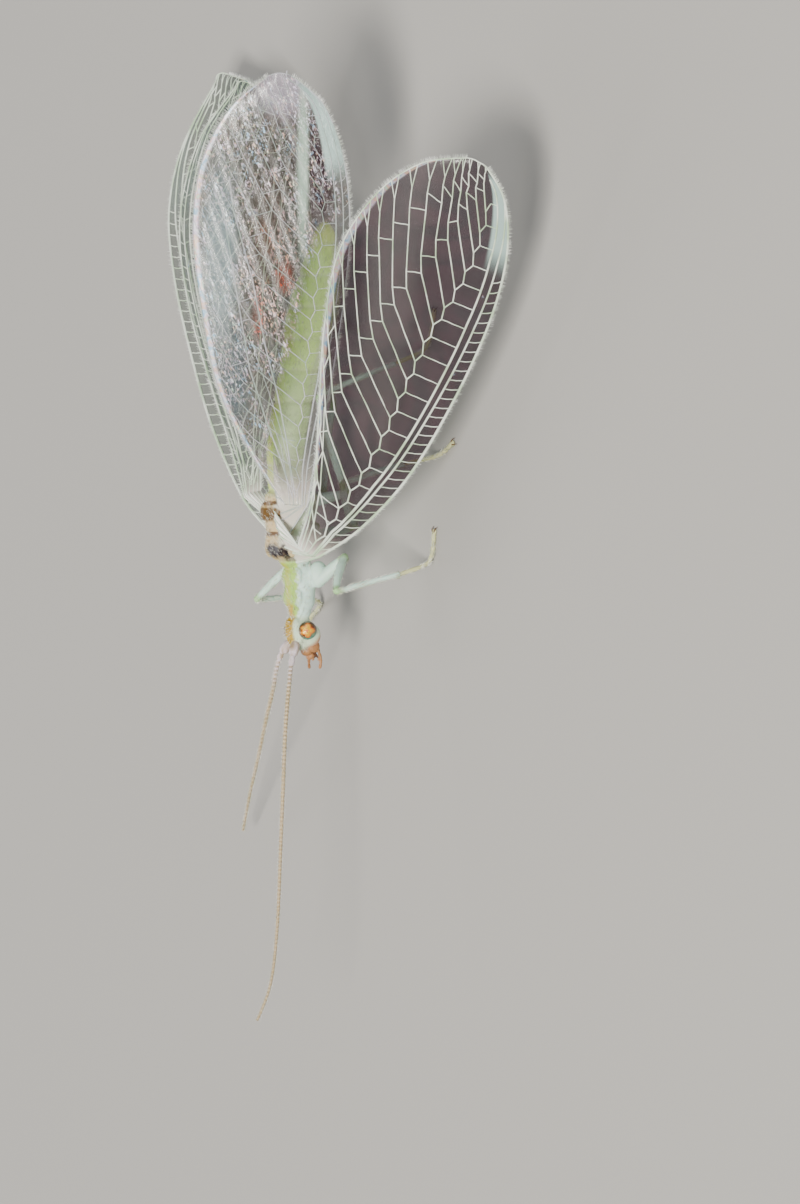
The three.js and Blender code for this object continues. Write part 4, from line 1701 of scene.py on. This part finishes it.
@dataclass
class Wing:
    """One wing: a thin membrane, its net of veins and the fringe of fine hair."""

    name: str
    costal: Table
    trailing: Table
    venation: Venation
    root: Point
    tip: Point
    costal_side: Point
    camber_side: int
    hinge: tuple[Point, Point]
    seed: int
    hinge_rise: float = 0.05
    camber: float = 0.1
    hinge_share: float = 0.07
    thickness: float = 0.012
    tip_bulge: float = 0.09
    pleat: float = 0.012
    billow: float = 0.045
    film_bulge: float = 0.12
    edge_steps: int = 200

    def axes(self) -> tuple[Vector, Vector, Vector]:
        """Gives the wing's directions: along it, towards its front edge and out of its plane."""
        forward = (Vector(self.tip) - Vector(self.root)).normalized()
        normal = forward.cross(Vector(self.costal_side)).normalized()
        return forward, normal.cross(forward), normal

    def flat(self, along: np.ndarray, across: np.ndarray) -> np.ndarray:
        """Gives places on the flattened wing, in millimetres.

        Args:
            along: Shares from the base at 0 to the tip at 1.
            across: Shares from the front edge at 0 to the trailing edge at 1.

        Returns:
            Rows of distances along and across.
        """
        front, rear = spline(self.costal, along), spline(self.trailing, along)
        places = front + (rear - front) * across[:, None]
        places[:, 0] += self.tip_bulge * smoothstep(along, 0.86, 1.0) * (1 - (2 * across - 1) ** 2)
        return places

    def edges(self) -> tuple[np.ndarray, np.ndarray]:
        """Gives the front and the trailing edge of the flattened wing."""
        steps = np.linspace(0, 1, self.edge_steps)
        return spline(self.costal, steps), spline(self.trailing, steps)

    def across_share(self, flat: np.ndarray) -> np.ndarray:
        """Gives how far across the wing flat places lie, from 0 to 1."""
        high, low = (levels(edge, flat[:, 0]) for edge in self.edges())
        return np.clip((high - flat[:, 1]) / (high - low), 0, 1)

    def lift(self, flat: np.ndarray) -> np.ndarray:
        """Bends flat places into the wing's own cambered, gently billowing surface.

        Args:
            flat: Rows of distances along and across.

        Returns:
            Rows of coordinates in millimetres.
        """
        across = self.across_share(flat)
        rise = self.camber_side * self.camber * 4 * across * (1 - across)
        inside = np.sin(across * math.pi)
        pleat = self.pleat * np.sin(flat[:, 1] * 19 + flat[:, 0] * 6.5) * inside
        billow = self.billow * np.sin(flat[:, 0] * 0.8 + self.seed) * inside
        local = np.column_stack([flat, rise + pleat + billow])
        return np.array(self.root) + local @ np.array(self.axes())

    def surface(self, along: np.ndarray, across: np.ndarray) -> np.ndarray:
        """Gives places on the wing and, below 0 along, on the film that joins it to the body.

        Args:
            along: Shares from the base at 0 to the tip at 1.
            across: Shares from the front edge at 0 to the trailing edge at 1.

        Returns:
            Rows of coordinates in millimetres.
        """
        places = self.lift(self.flat(np.clip(along, 0, 1), across))
        first, last = np.array(self.hinge[0]), np.array(self.hinge[1])
        fixed = first + (last - first) * across[:, None]
        fixed[:, 2] += self.hinge_rise * 4 * across * (1 - across)
        share = np.clip(-along / self.hinge_share, 0, 1)[:, None]
        bulge = np.array(self.axes()[2]) * (self.camber_side * self.film_bulge * share * (1 - share))
        return places + (fixed - places) * share + bulge

    def vein(
        self, knots: Sequence[tuple[float, float]], radius: float, taper: float = 1.0, fine: int = 4
    ) -> Line:
        """Gives a vein through places on the flattened wing.

        Args:
            knots: Its bends, in millimetres along and across.
            radius: Its radius at its start.
            taper: The share of that radius which is left at its end.
            fine: The number of steps between two knots.

        Returns:
            The rod.
        """
        rows = np.array(knots, float)
        dense = np.linspace(0, len(rows) - 1, fine * (len(rows) - 1) + 1)
        flat = np.column_stack([np.interp(dense, np.arange(len(rows)), rows[:, axis]) for axis in (0, 1)])
        widths = np.linspace(radius, radius * taper, len(flat)) * self.venation.thickness
        return [(Vector(place), float(width)) for place, width in zip(self.lift(flat), widths)]

    def rim(self, place: float) -> tuple[float, float]:
        """Gives a place on the trailing edge or round the tip.

        Args:
            place: How far along it lies, up to 1 on the trailing edge and up to 1.1 round the tip.

        Returns:
            The place on the flattened wing.
        """
        along, across = min(place, 1.0), 1.0 - max(place - 1.0, 0.0) * 10
        row = self.flat(np.array([along]), np.array([across]))[0]
        return float(row[0]), float(row[1])

    def gap_line(self, gaps: Table) -> list[tuple[float, float]]:
        """Gives a line that keeps a table's distance from the front edge.

        Args:
            gaps: Distances by their places along the wing.

        Returns:
            Places on the flattened wing.
        """
        places = np.linspace(gaps[0][0], gaps[-1][0], 70)
        heights = levels(self.edges()[0], places) - levels(gaps, places)
        return [(float(x), float(y)) for x, y in zip(places, heights)]

    def radius_height(self, place: float) -> float:
        """Gives how high the radius runs at a place along the wing."""
        return level(self.gap_line(self.venation.radius_gap), place)

    def origins(self) -> list[float]:
        """Gives where the branches leave the stem."""
        plan = self.venation
        return [(plan.first + plan.pitch * i) * plan.scale for i in range(plan.branches)]

    def branch_place(
        self, ends: tuple[tuple[float, float], tuple[float, float]], share: float, nudge: float = 0.0
    ) -> tuple[float, float]:
        """Gives a place on a branch.

        Args:
            ends: Where the branch starts and ends.
            share: How far along it the place lies.
            nudge: How far it is moved across it.

        Returns:
            The place on the flattened wing.
        """
        start, end = ends
        run, drop = end[0] - start[0], end[1] - start[1]
        return start[0] + run * share, start[1] + drop * level(self.venation.bend, share) + nudge

    def branch_knots(
        self, ends: tuple[tuple[float, float], tuple[float, float]], rng: np.random.Generator
    ) -> list[tuple[float, float]]:
        """Gives a branch's bends, where it steps at the inner and the outer row of rungs.

        Args:
            ends: Where the branch starts and ends.
            rng: The seeded source of chance.

        Returns:
            Its start and the places before and after each step.
        """
        scale = self.venation.scale
        run = ends[1][0] - ends[0][0]
        inner = min(0.44, 1.25 * scale / run)
        outer = min(0.7, max(2.95 * scale / run, inner + 0.22))
        step = 0.46 * scale / run
        bends = (
            (inner, (0.0, 0.03)),
            (min(inner + step, outer - 0.08), (-0.03, 0.0)),
            (outer, (0.0, 0.025)),
            (min(outer + step, 0.84), (-0.025, 0.0)),
        )
        return [ends[0], *(self.branch_place(ends, share, rng.uniform(*nudges)) for share, nudges in bends)]

    def branch_lines(self, rng: np.random.Generator) -> list[Line]:
        """Gives the oblique branches with their forks, and the two stepped rows of rungs.

        Args:
            rng: The seeded source of chance.

        Returns:
            The rods.
        """
        plan = self.venation
        lines: list[Line] = []
        landings: dict[str, tuple[float, float]] = {}
        for origin in self.origins():
            place = origin / plan.scale
            rim_place = level(plan.rims, place)
            ends = ((origin, level(plan.stem, origin)), self.rim(rim_place))
            knots = self.branch_knots(ends, rng)
            for row, leaving, landing in (("inner", knots[1], knots[2]), ("outer", knots[3], knots[4])):
                if row in landings:
                    lines.append(self.vein([landings[row], leaving], RUNG_RADIUS))
                landings[row] = landing
            fork = self.branch_place(ends, 0.88)
            lines.append(self.vein([*knots, fork], 0.022, 0.85))
            spread = 0.0125 if place < 9.5 else 0.006
            for way in (-1, 1):
                prong = self.rim(min(rim_place + way * spread, 1.1))
                lines.append(self.vein([fork, prong], PRONG_RADIUS))
        return lines

    def stem_lines(self) -> list[Line]:
        """Gives the zigzag stem and its rungs to the radius."""
        plan = self.venation
        knots = [plan.stem[0]]
        lines: list[Line] = []
        for origin in self.origins():
            place = origin + 0.26 * plan.scale
            crest = (place, level(plan.stem, place) + 0.1 * plan.scale)
            knots += [(origin, level(plan.stem, origin)), crest]
            lines.append(self.vein([crest, (place + 0.02, self.radius_height(place))], RUNG_RADIUS))
        lines.append(self.vein(knots, 0.027, 0.7))
        return lines

    def base_lines(self) -> list[Line]:
        """Gives the cubital and anal veins near the base."""
        plan = self.venation
        cubitus = [(0.3, -0.1), (1.2, -0.2), (2.2, -0.45), (3.2, -0.8), (4.4, -1.25)]
        anal = [(0.3, -0.2), (1.0, -0.3), (1.8, -0.46), (2.5, -0.72)]
        lines = [self.vein([(x, y * plan.scale) for x, y in knots], 0.024, 0.7) for knots in (cubitus, anal)]
        lines += [self.vein(knots, 0.04, 0.8) for knots in plan.long_veins]
        for place in (0.6, 1.0, 1.45, 1.95):
            rung = [(place, level(plan.stem, place)), (place + 0.06, level(cubitus, place))]
            lines.append(self.vein(rung, PRONG_RADIUS))
        return lines

    def costal_lines(self) -> list[Line]:
        """Gives the slanted rungs between the front edge and the subcosta."""
        plan = self.venation
        subcosta, front = self.gap_line(plan.subcosta_gap), self.edges()[0]
        rungs = []
        for place in np.linspace(0.55, 9.9 * plan.scale, plan.costal_rungs):
            low, high = level(subcosta, place), level(front, place + 0.16)
            middle = (place + 0.06, (low + high) / 2)
            rungs.append(self.vein([(place, low), middle, (place + 0.16, high)], 0.015))
        return rungs

    def edge_line(self, along: np.ndarray, across: np.ndarray, radii: tuple[float, float]) -> Line:
        """Gives a rod along the wing's surface, between two radii."""
        widths = np.linspace(*radii, len(along)) * self.venation.thickness
        return [(Vector(place), float(width)) for place, width in zip(self.surface(along, across), widths)]

    def vein_lines(self) -> list[Line]:
        """Gives all the wing's veins as rods."""
        rng = np.random.default_rng(self.seed)
        plan = self.venation
        film = np.linspace(-self.hinge_share, 0.0, 9)
        full = np.concatenate([film[:-1], np.linspace(0, 1, 140)])
        tip = np.linspace(0, 1, 13)
        lines = [
            self.edge_line(full, np.zeros(len(full)), (0.05, 0.03)),
            self.edge_line(full, np.ones(len(full)), (0.026, 0.02)),
            self.edge_line(np.ones(len(tip)), tip, (0.026, 0.02)),
            self.vein(self.gap_line(plan.subcosta_gap), 0.038, 0.65, 2),
            self.vein(self.gap_line(plan.radius_gap), 0.044, 0.6, 2),
        ]
        for share, width in ((0.2, 0.04), (0.29, 0.045), (0.5, 0.034), (0.66, 0.028), (0.83, 0.024)):
            lines.append(self.edge_line(film, np.full(len(film), share), (width, width)))
        lines += self.stem_lines() + self.base_lines() + self.costal_lines()
        return lines + self.branch_lines(rng)

    def build_membrane(self, finish: bpy.types.Material) -> bpy.types.Object:
        """Makes the membrane as a thin closed sheet with maps of its shares and millimetres.

        Args:
            finish: Its material.

        Returns:
            The finished piece.
        """
        bm = bmesh.new()
        shares_map = bm.loops.layers.uv.new("WingMap")
        flat_map = bm.loops.layers.uv.new("WingFlat")
        bmesh.ops.create_grid(bm, x_segments=180, y_segments=84, size=0.5)
        corners = list(bm.verts)
        along = np.array([corner.co.x + 0.5 for corner in corners])
        along = along * (1 + self.hinge_share) - self.hinge_share
        across = np.array([corner.co.y + 0.5 for corner in corners])
        flat = self.flat(np.clip(along, 0, 1), across)
        flat[:, 0] += np.minimum(along, 0) * FLAT_UNIT
        for corner, place in zip(corners, self.surface(along, across)):
            corner.co = place
        rows = {corner: index for index, corner in enumerate(corners)}
        for face in bm.faces:
            for loop in face.loops:
                index = rows[loop.vert]
                loop[shares_map].uv = (along[index], across[index])
                loop[flat_map].uv = (flat[index, 0] / FLAT_UNIT, (flat[index, 1] + FLAT_SHIFT) / FLAT_UNIT)
        bmesh.ops.solidify(bm, geom=bm.faces, thickness=self.thickness)
        return finish_piece(bm, f"{self.name}_membrane", finish, Slot.WINGS, self.name)

    def build_veins(self, finish: bpy.types.Material) -> bpy.types.Object:
        """Makes the net of veins.

        Args:
            finish: Its material.

        Returns:
            The finished piece.
        """
        bm = bmesh.new()
        add_mesh(bm, rods(self.name, self.vein_lines(), 1))
        return finish_piece(bm, f"{self.name}_veins", finish, Slot.WINGS)

    def grow_hair(self, finish: bpy.types.Material) -> bpy.types.Object:
        """Grows the fringe round the edge and fine hair along the veins.

        Args:
            finish: The hair's material.

        Returns:
            The finished piece.
        """
        rng = np.random.default_rng(self.seed + 100)
        strands = Strands()
        forward, chord, normal = self.axes()
        for edge, away, count in ((0.0, chord, 760), (1.0, -chord, 1000)):
            along = rng.uniform(0.01, 1.0, count)
            places = self.surface(along, np.full(count, edge))
            ends = smoothstep(along, 0.75, 1.0)
            for share, place, end in zip(along, places, ends):
                lean = away * (1 - 0.6 * end) + forward * (0.45 + 0.8 * end)
                lean += normal * rng.uniform(-0.4, 0.4)
                tip = Vector(place) + lean.normalized() * rng.uniform(0.08, 0.15)
                strands.add(Vector(place), tip, (0.01 + share * 0.96, 0.01 + edge * 0.96))
        for line in self.vein_lines()[EDGE_RODS:]:
            count = max(2, int(len(line) * 0.6))
            for index in rng.integers(0, len(line) - 1, count):
                place, radius = line[index]
                along = (line[index + 1][0] - place).normalized()
                way = normal * float(rng.choice(SIDES))
                root = place + way * radius * 0.8
                tip = root + (way * 0.8 + along * 0.9 + forward * 0.3).normalized() * rng.uniform(0.06, 0.11)
                local = Vector(place) - Vector(self.root)
                spot = (local.dot(forward) / 13.2, 0.5 - local.dot(chord) / 6.0)
                strands.add(root, tip, (0.01 + 0.96 * spot[0], 0.01 + 0.96 * spot[1]))
        return strands.build(f"{self.name}_hair", 0.005, finish, Slot.WINGS)


def all_wings() -> list[Wing]:
    """Gives the four wings, where the solids have them."""
    return [
        Wing(
            "forewing_left", FORE_COSTAL, FORE_TRAILING, FORE_VENATION,
            root=(0.5, 1.12, 2.94), tip=(-8.78, 9.66, 2.44), costal_side=(0.44, 0.44, -0.78),
            camber_side=-1, hinge=((0.55, 0.5, 2.8), (-0.75, 0.3, 3.36)), seed=3, hinge_rise=0.16,
        ),
        Wing(
            "forewing_right", FORE_RIGHT_COSTAL, FORE_RIGHT_TRAILING, FORE_VENATION,
            root=(-0.08, -0.98, 2.4), tip=(-11.18, -6.86, 1.5), costal_side=(0.0, -0.92, 0.39),
            camber_side=1, hinge=((0.36, -0.52, 2.84), (-0.3, -0.5, 3.02)), seed=5,
        ),
        Wing(
            "hindwing_left", HIND_COSTAL, HIND_TRAILING, HIND_VENATION,
            root=(-0.58, 0.98, 3.06), tip=(-11.52, 3.42, 4.4), costal_side=(0.0, 0.5, -0.87),
            camber_side=-1, hinge=((-0.05, 0.42, 3.06), (-2.1, 0.34, 3.38)), seed=7, hinge_rise=0.12,
        ),
        Wing(
            "hindwing_right", HIND_RIGHT_COSTAL, HIND_RIGHT_TRAILING, HIND_VENATION,
            root=(-0.88, -1.08, 3.14), tip=(-11.16, -5.3, 1.98), costal_side=(0.0, -0.92, 0.39),
            camber_side=1, hinge=((-0.5, -0.5, 2.96), (-1.0, -0.36, 3.16)), seed=9,
        ),
    ]


# Each wing has its own tints and glitter: painted sheen and shade, and painted glints
MEMBRANES = {
    # The left forewing's dark purple tints are painted shade over its clear film
    "forewing_left": MembraneFinish(
        "PaintedShadeMembrane", ("2a1220", "3a1e2c", "281824", "3e2430"), clear=0.5, glitter=0.3, glitter_from=0.67,
        milky=0.11,
    ),
    "forewing_right": MembraneFinish(
        "GreyMembrane", ("42544a", "4e6052", "3a4a42", "56665a"), clear=0.38, glitter=0.25, glitter_from=0.62,
        stigma_share=0.2
    ),
    "hindwing_left": MembraneFinish(
        "PearlMembrane", ("50504c", "46362e", "54544e", "503c30"), clear=0.36, glitter=0.85,
        glitter_from=0.52, calm=0.92, milky=0.16, rim=0.9, fine=300.0, patches=(
            # Spots of painted light: the bright ones painted reflections, the dark ones painted shade
            Patch((6.6, -1.95), (2.6, 0.5), "9cc0cc", sheen_share=0.45, glint=0.4),
            Patch((3.6, -1.6), (1.7, 0.42), "2c4450", sheen_share=0.8, glint=0.2, cover=0.15),
            Patch((7.2, -0.85), (2.8, 0.6), "4a3024", sheen_share=0.7, glint=0.0),
            Patch((6.4, -0.6), (2.4, 0.8), "ffb488", sheen_share=0.0, glint=0.5),
            Patch((6.15, -0.35), (0.5, 0.26), "ff5a18", sheen_share=0.12, glint=1.0),
            Patch((7.1, -0.85), (0.6, 0.22), "ff8448", sheen_share=0.05, glint=0.9),
            Patch((5.1, -1.0), (0.7, 0.18), "f0562c", sheen_share=0.08, glint=0.9),
            Patch((11.0, -0.4), (0.9, 0.9), "e6dcf2", sheen_share=0.5, glint=0.4),
            Patch((8.9, 0.52), (1.9, 0.46), "2a0e1a", sheen_share=0.95, glint=0.0, cover=0.4),
            Patch((9.0, 0.1), (2.6, 0.17), "bcd6c4", sheen_share=0.8, glint=0.6, cover=0.2),
        ),
    ),
    "hindwing_right": MembraneFinish(
        "SilverMembrane", ("56665e", "5c6c62", "4c5c56", "64706a"), clear=0.24, glitter=0.4, glitter_from=0.6,
        stigma_share=0.2
    ),
}


@dataclass
class Studio:
    """A plain pale floor, soft lights and the camera, which is turned with the insect."""

    target: Point = (1.55, 1.4125, 0.3535)
    distance: float = 400.0
    framed_height: float = 30.1
    sensor: float = 36.0
    toward_camera: Point = (0.0, 0.866, 0.5)
    light_aim: Point = (-3.0, 1.0, 2.0)
    floor_reach: float = 1500.0

    def build_floor(self) -> None:
        """Lays the floor."""
        made, shader, surface = new_material("PaleFloor")
        shade = shader.ramp(shader.noise(3.0, 3.0), (0.3, "a3a19d"), (0.7, "a9a7a3"))
        shader.fill(surface, Base_Color=shade, Roughness=0.9)
        bm = bmesh.new()
        bmesh.ops.create_circle(bm, cap_ends=True, segments=96, radius=self.floor_reach)
        mesh = bpy.data.meshes.new("floor")
        bm.to_mesh(mesh)
        bm.free()
        mesh.transform(Matrix.Scale(MILLIMETRE, 4))
        mesh.materials.append(made)
        floor = bpy.data.objects.new("floor", mesh)
        bpy.context.scene.collection.objects.link(floor)

    def add_light(self, name: str, place: Point, size: float, watts: float, code: str) -> None:
        """Adds a soft square light that faces the insect.

        Args:
            name: Its name.
            place: Where it stands, in the insect's millimetres.
            size: Its edge in millimetres.
            watts: Its power.
            code: Its display colour.
        """
        lamp = bpy.data.lights.new(name, "AREA")
        lamp.size = size * MILLIMETRE
        lamp.energy = watts
        lamp.color = colour(code)[:3]
        holder = bpy.data.objects.new(name, lamp)
        holder.location = PLACEMENT @ Vector(place)
        aim = PLACEMENT @ Vector(self.light_aim)
        holder.rotation_euler = (aim - holder.location).to_track_quat("-Z", "Y").to_euler()
        holder.visible_camera = False
        bpy.context.scene.collection.objects.link(holder)

    def build_lights(self) -> None:
        """Sets a key light, a fill, a rim light and an even sky."""
        self.add_light("key", (70, 150, 190), 80, 1.1, "fffaf2")
        self.add_light("fill", (-170, 120, 90), 150, 0.16, "eef4ff")
        self.add_light("rim", (40, -170, 120), 110, 0.25, "ffffff")
        world = bpy.data.worlds.new("Studio")
        world.use_nodes = True
        world.node_tree.nodes["Background"].inputs["Color"].default_value = colour("dfe2e4")
        world.node_tree.nodes["Background"].inputs["Strength"].default_value = 0.25
        bpy.context.scene.world = world

    def build_camera(self) -> None:
        """Sets the camera at the photograph's angle, with the insect's tail towards the top."""
        toward = Vector(self.toward_camera).normalized()
        up = Vector((-1.0, 0.0, 0.0))
        right = up.cross(toward)
        lens = bpy.data.cameras.new("camera")
        lens.sensor_width = self.sensor
        lens.lens = self.sensor * self.distance / self.framed_height
        lens.clip_start = 0.01
        lens.clip_end = 20.0
        place = PLACEMENT @ (Vector(self.target) + toward * self.distance)
        turn = Matrix((right, up, toward)).transposed().to_4x4()
        holder = bpy.data.objects.new("camera", lens)
        holder.matrix_world = Matrix.Translation(place) @ turn
        bpy.context.scene.collection.objects.link(holder)
        bpy.context.scene.camera = holder

    def build(self) -> None:
        """Sets up the whole studio."""
        self.build_floor()
        self.build_lights()
        self.build_camera()


def main() -> None:
    """Builds the studio and the insect."""
    logging.basicConfig(level=logging.INFO, format="%(name)s: %(message)s")
    Studio().build()
    grain = cuticle_grain()
    skin_finish = CuticleFinish("PaleGreenSkin", painted=True).build(grain)
    limb_finish = CuticleFinish("LimbSkin", base="cfcf9c", mottle=0.6).build(grain)
    mouth_finish = CuticleFinish("MouthSkin", base="b57c52", mottle=1.0, grain=24000.0).build(grain)
    claw_finish = CuticleFinish("BrownHorn", base="5e3a26", glow=0.02, roughness=(0.2, 0.4)).build(grain)
    feeler_finish = CuticleFinish("FeelerRings", painted=True, grain=30000.0, mottle=0.3).build(grain)
    pale_hair = HairFinish("PaleHair").build()
    wing_hair = HairFinish("WingHair", light="f6f8f4", dark="d5dcd0").build()
    vein_finish = VeinFinish("PaleVeins").build()
    faint_finish = VeinFinish("FaintVeins", pale="e2e2ea", green="bfd2c8", opacity=0.5).build()

    body = Body()
    skin = body.build(skin_finish)
    body.grow_hair(skin, pale_hair)
    feet = Feet()
    feet.build(limb_finish, claw_finish)
    feet.grow_hair(pale_hair)
    Eyes().build(EyeFinish().build())
    Mouthparts().build(mouth_finish, claw_finish)
    Antennae().build(feeler_finish, pale_hair)
    for wing in all_wings():
        wing.build_membrane(MEMBRANES[wing.name].build())
        wing.build_veins(faint_finish if wing.name == "hindwing_left" else vein_finish)
        wing.grow_hair(wing_hair)


if __name__ == "__main__":
    main()
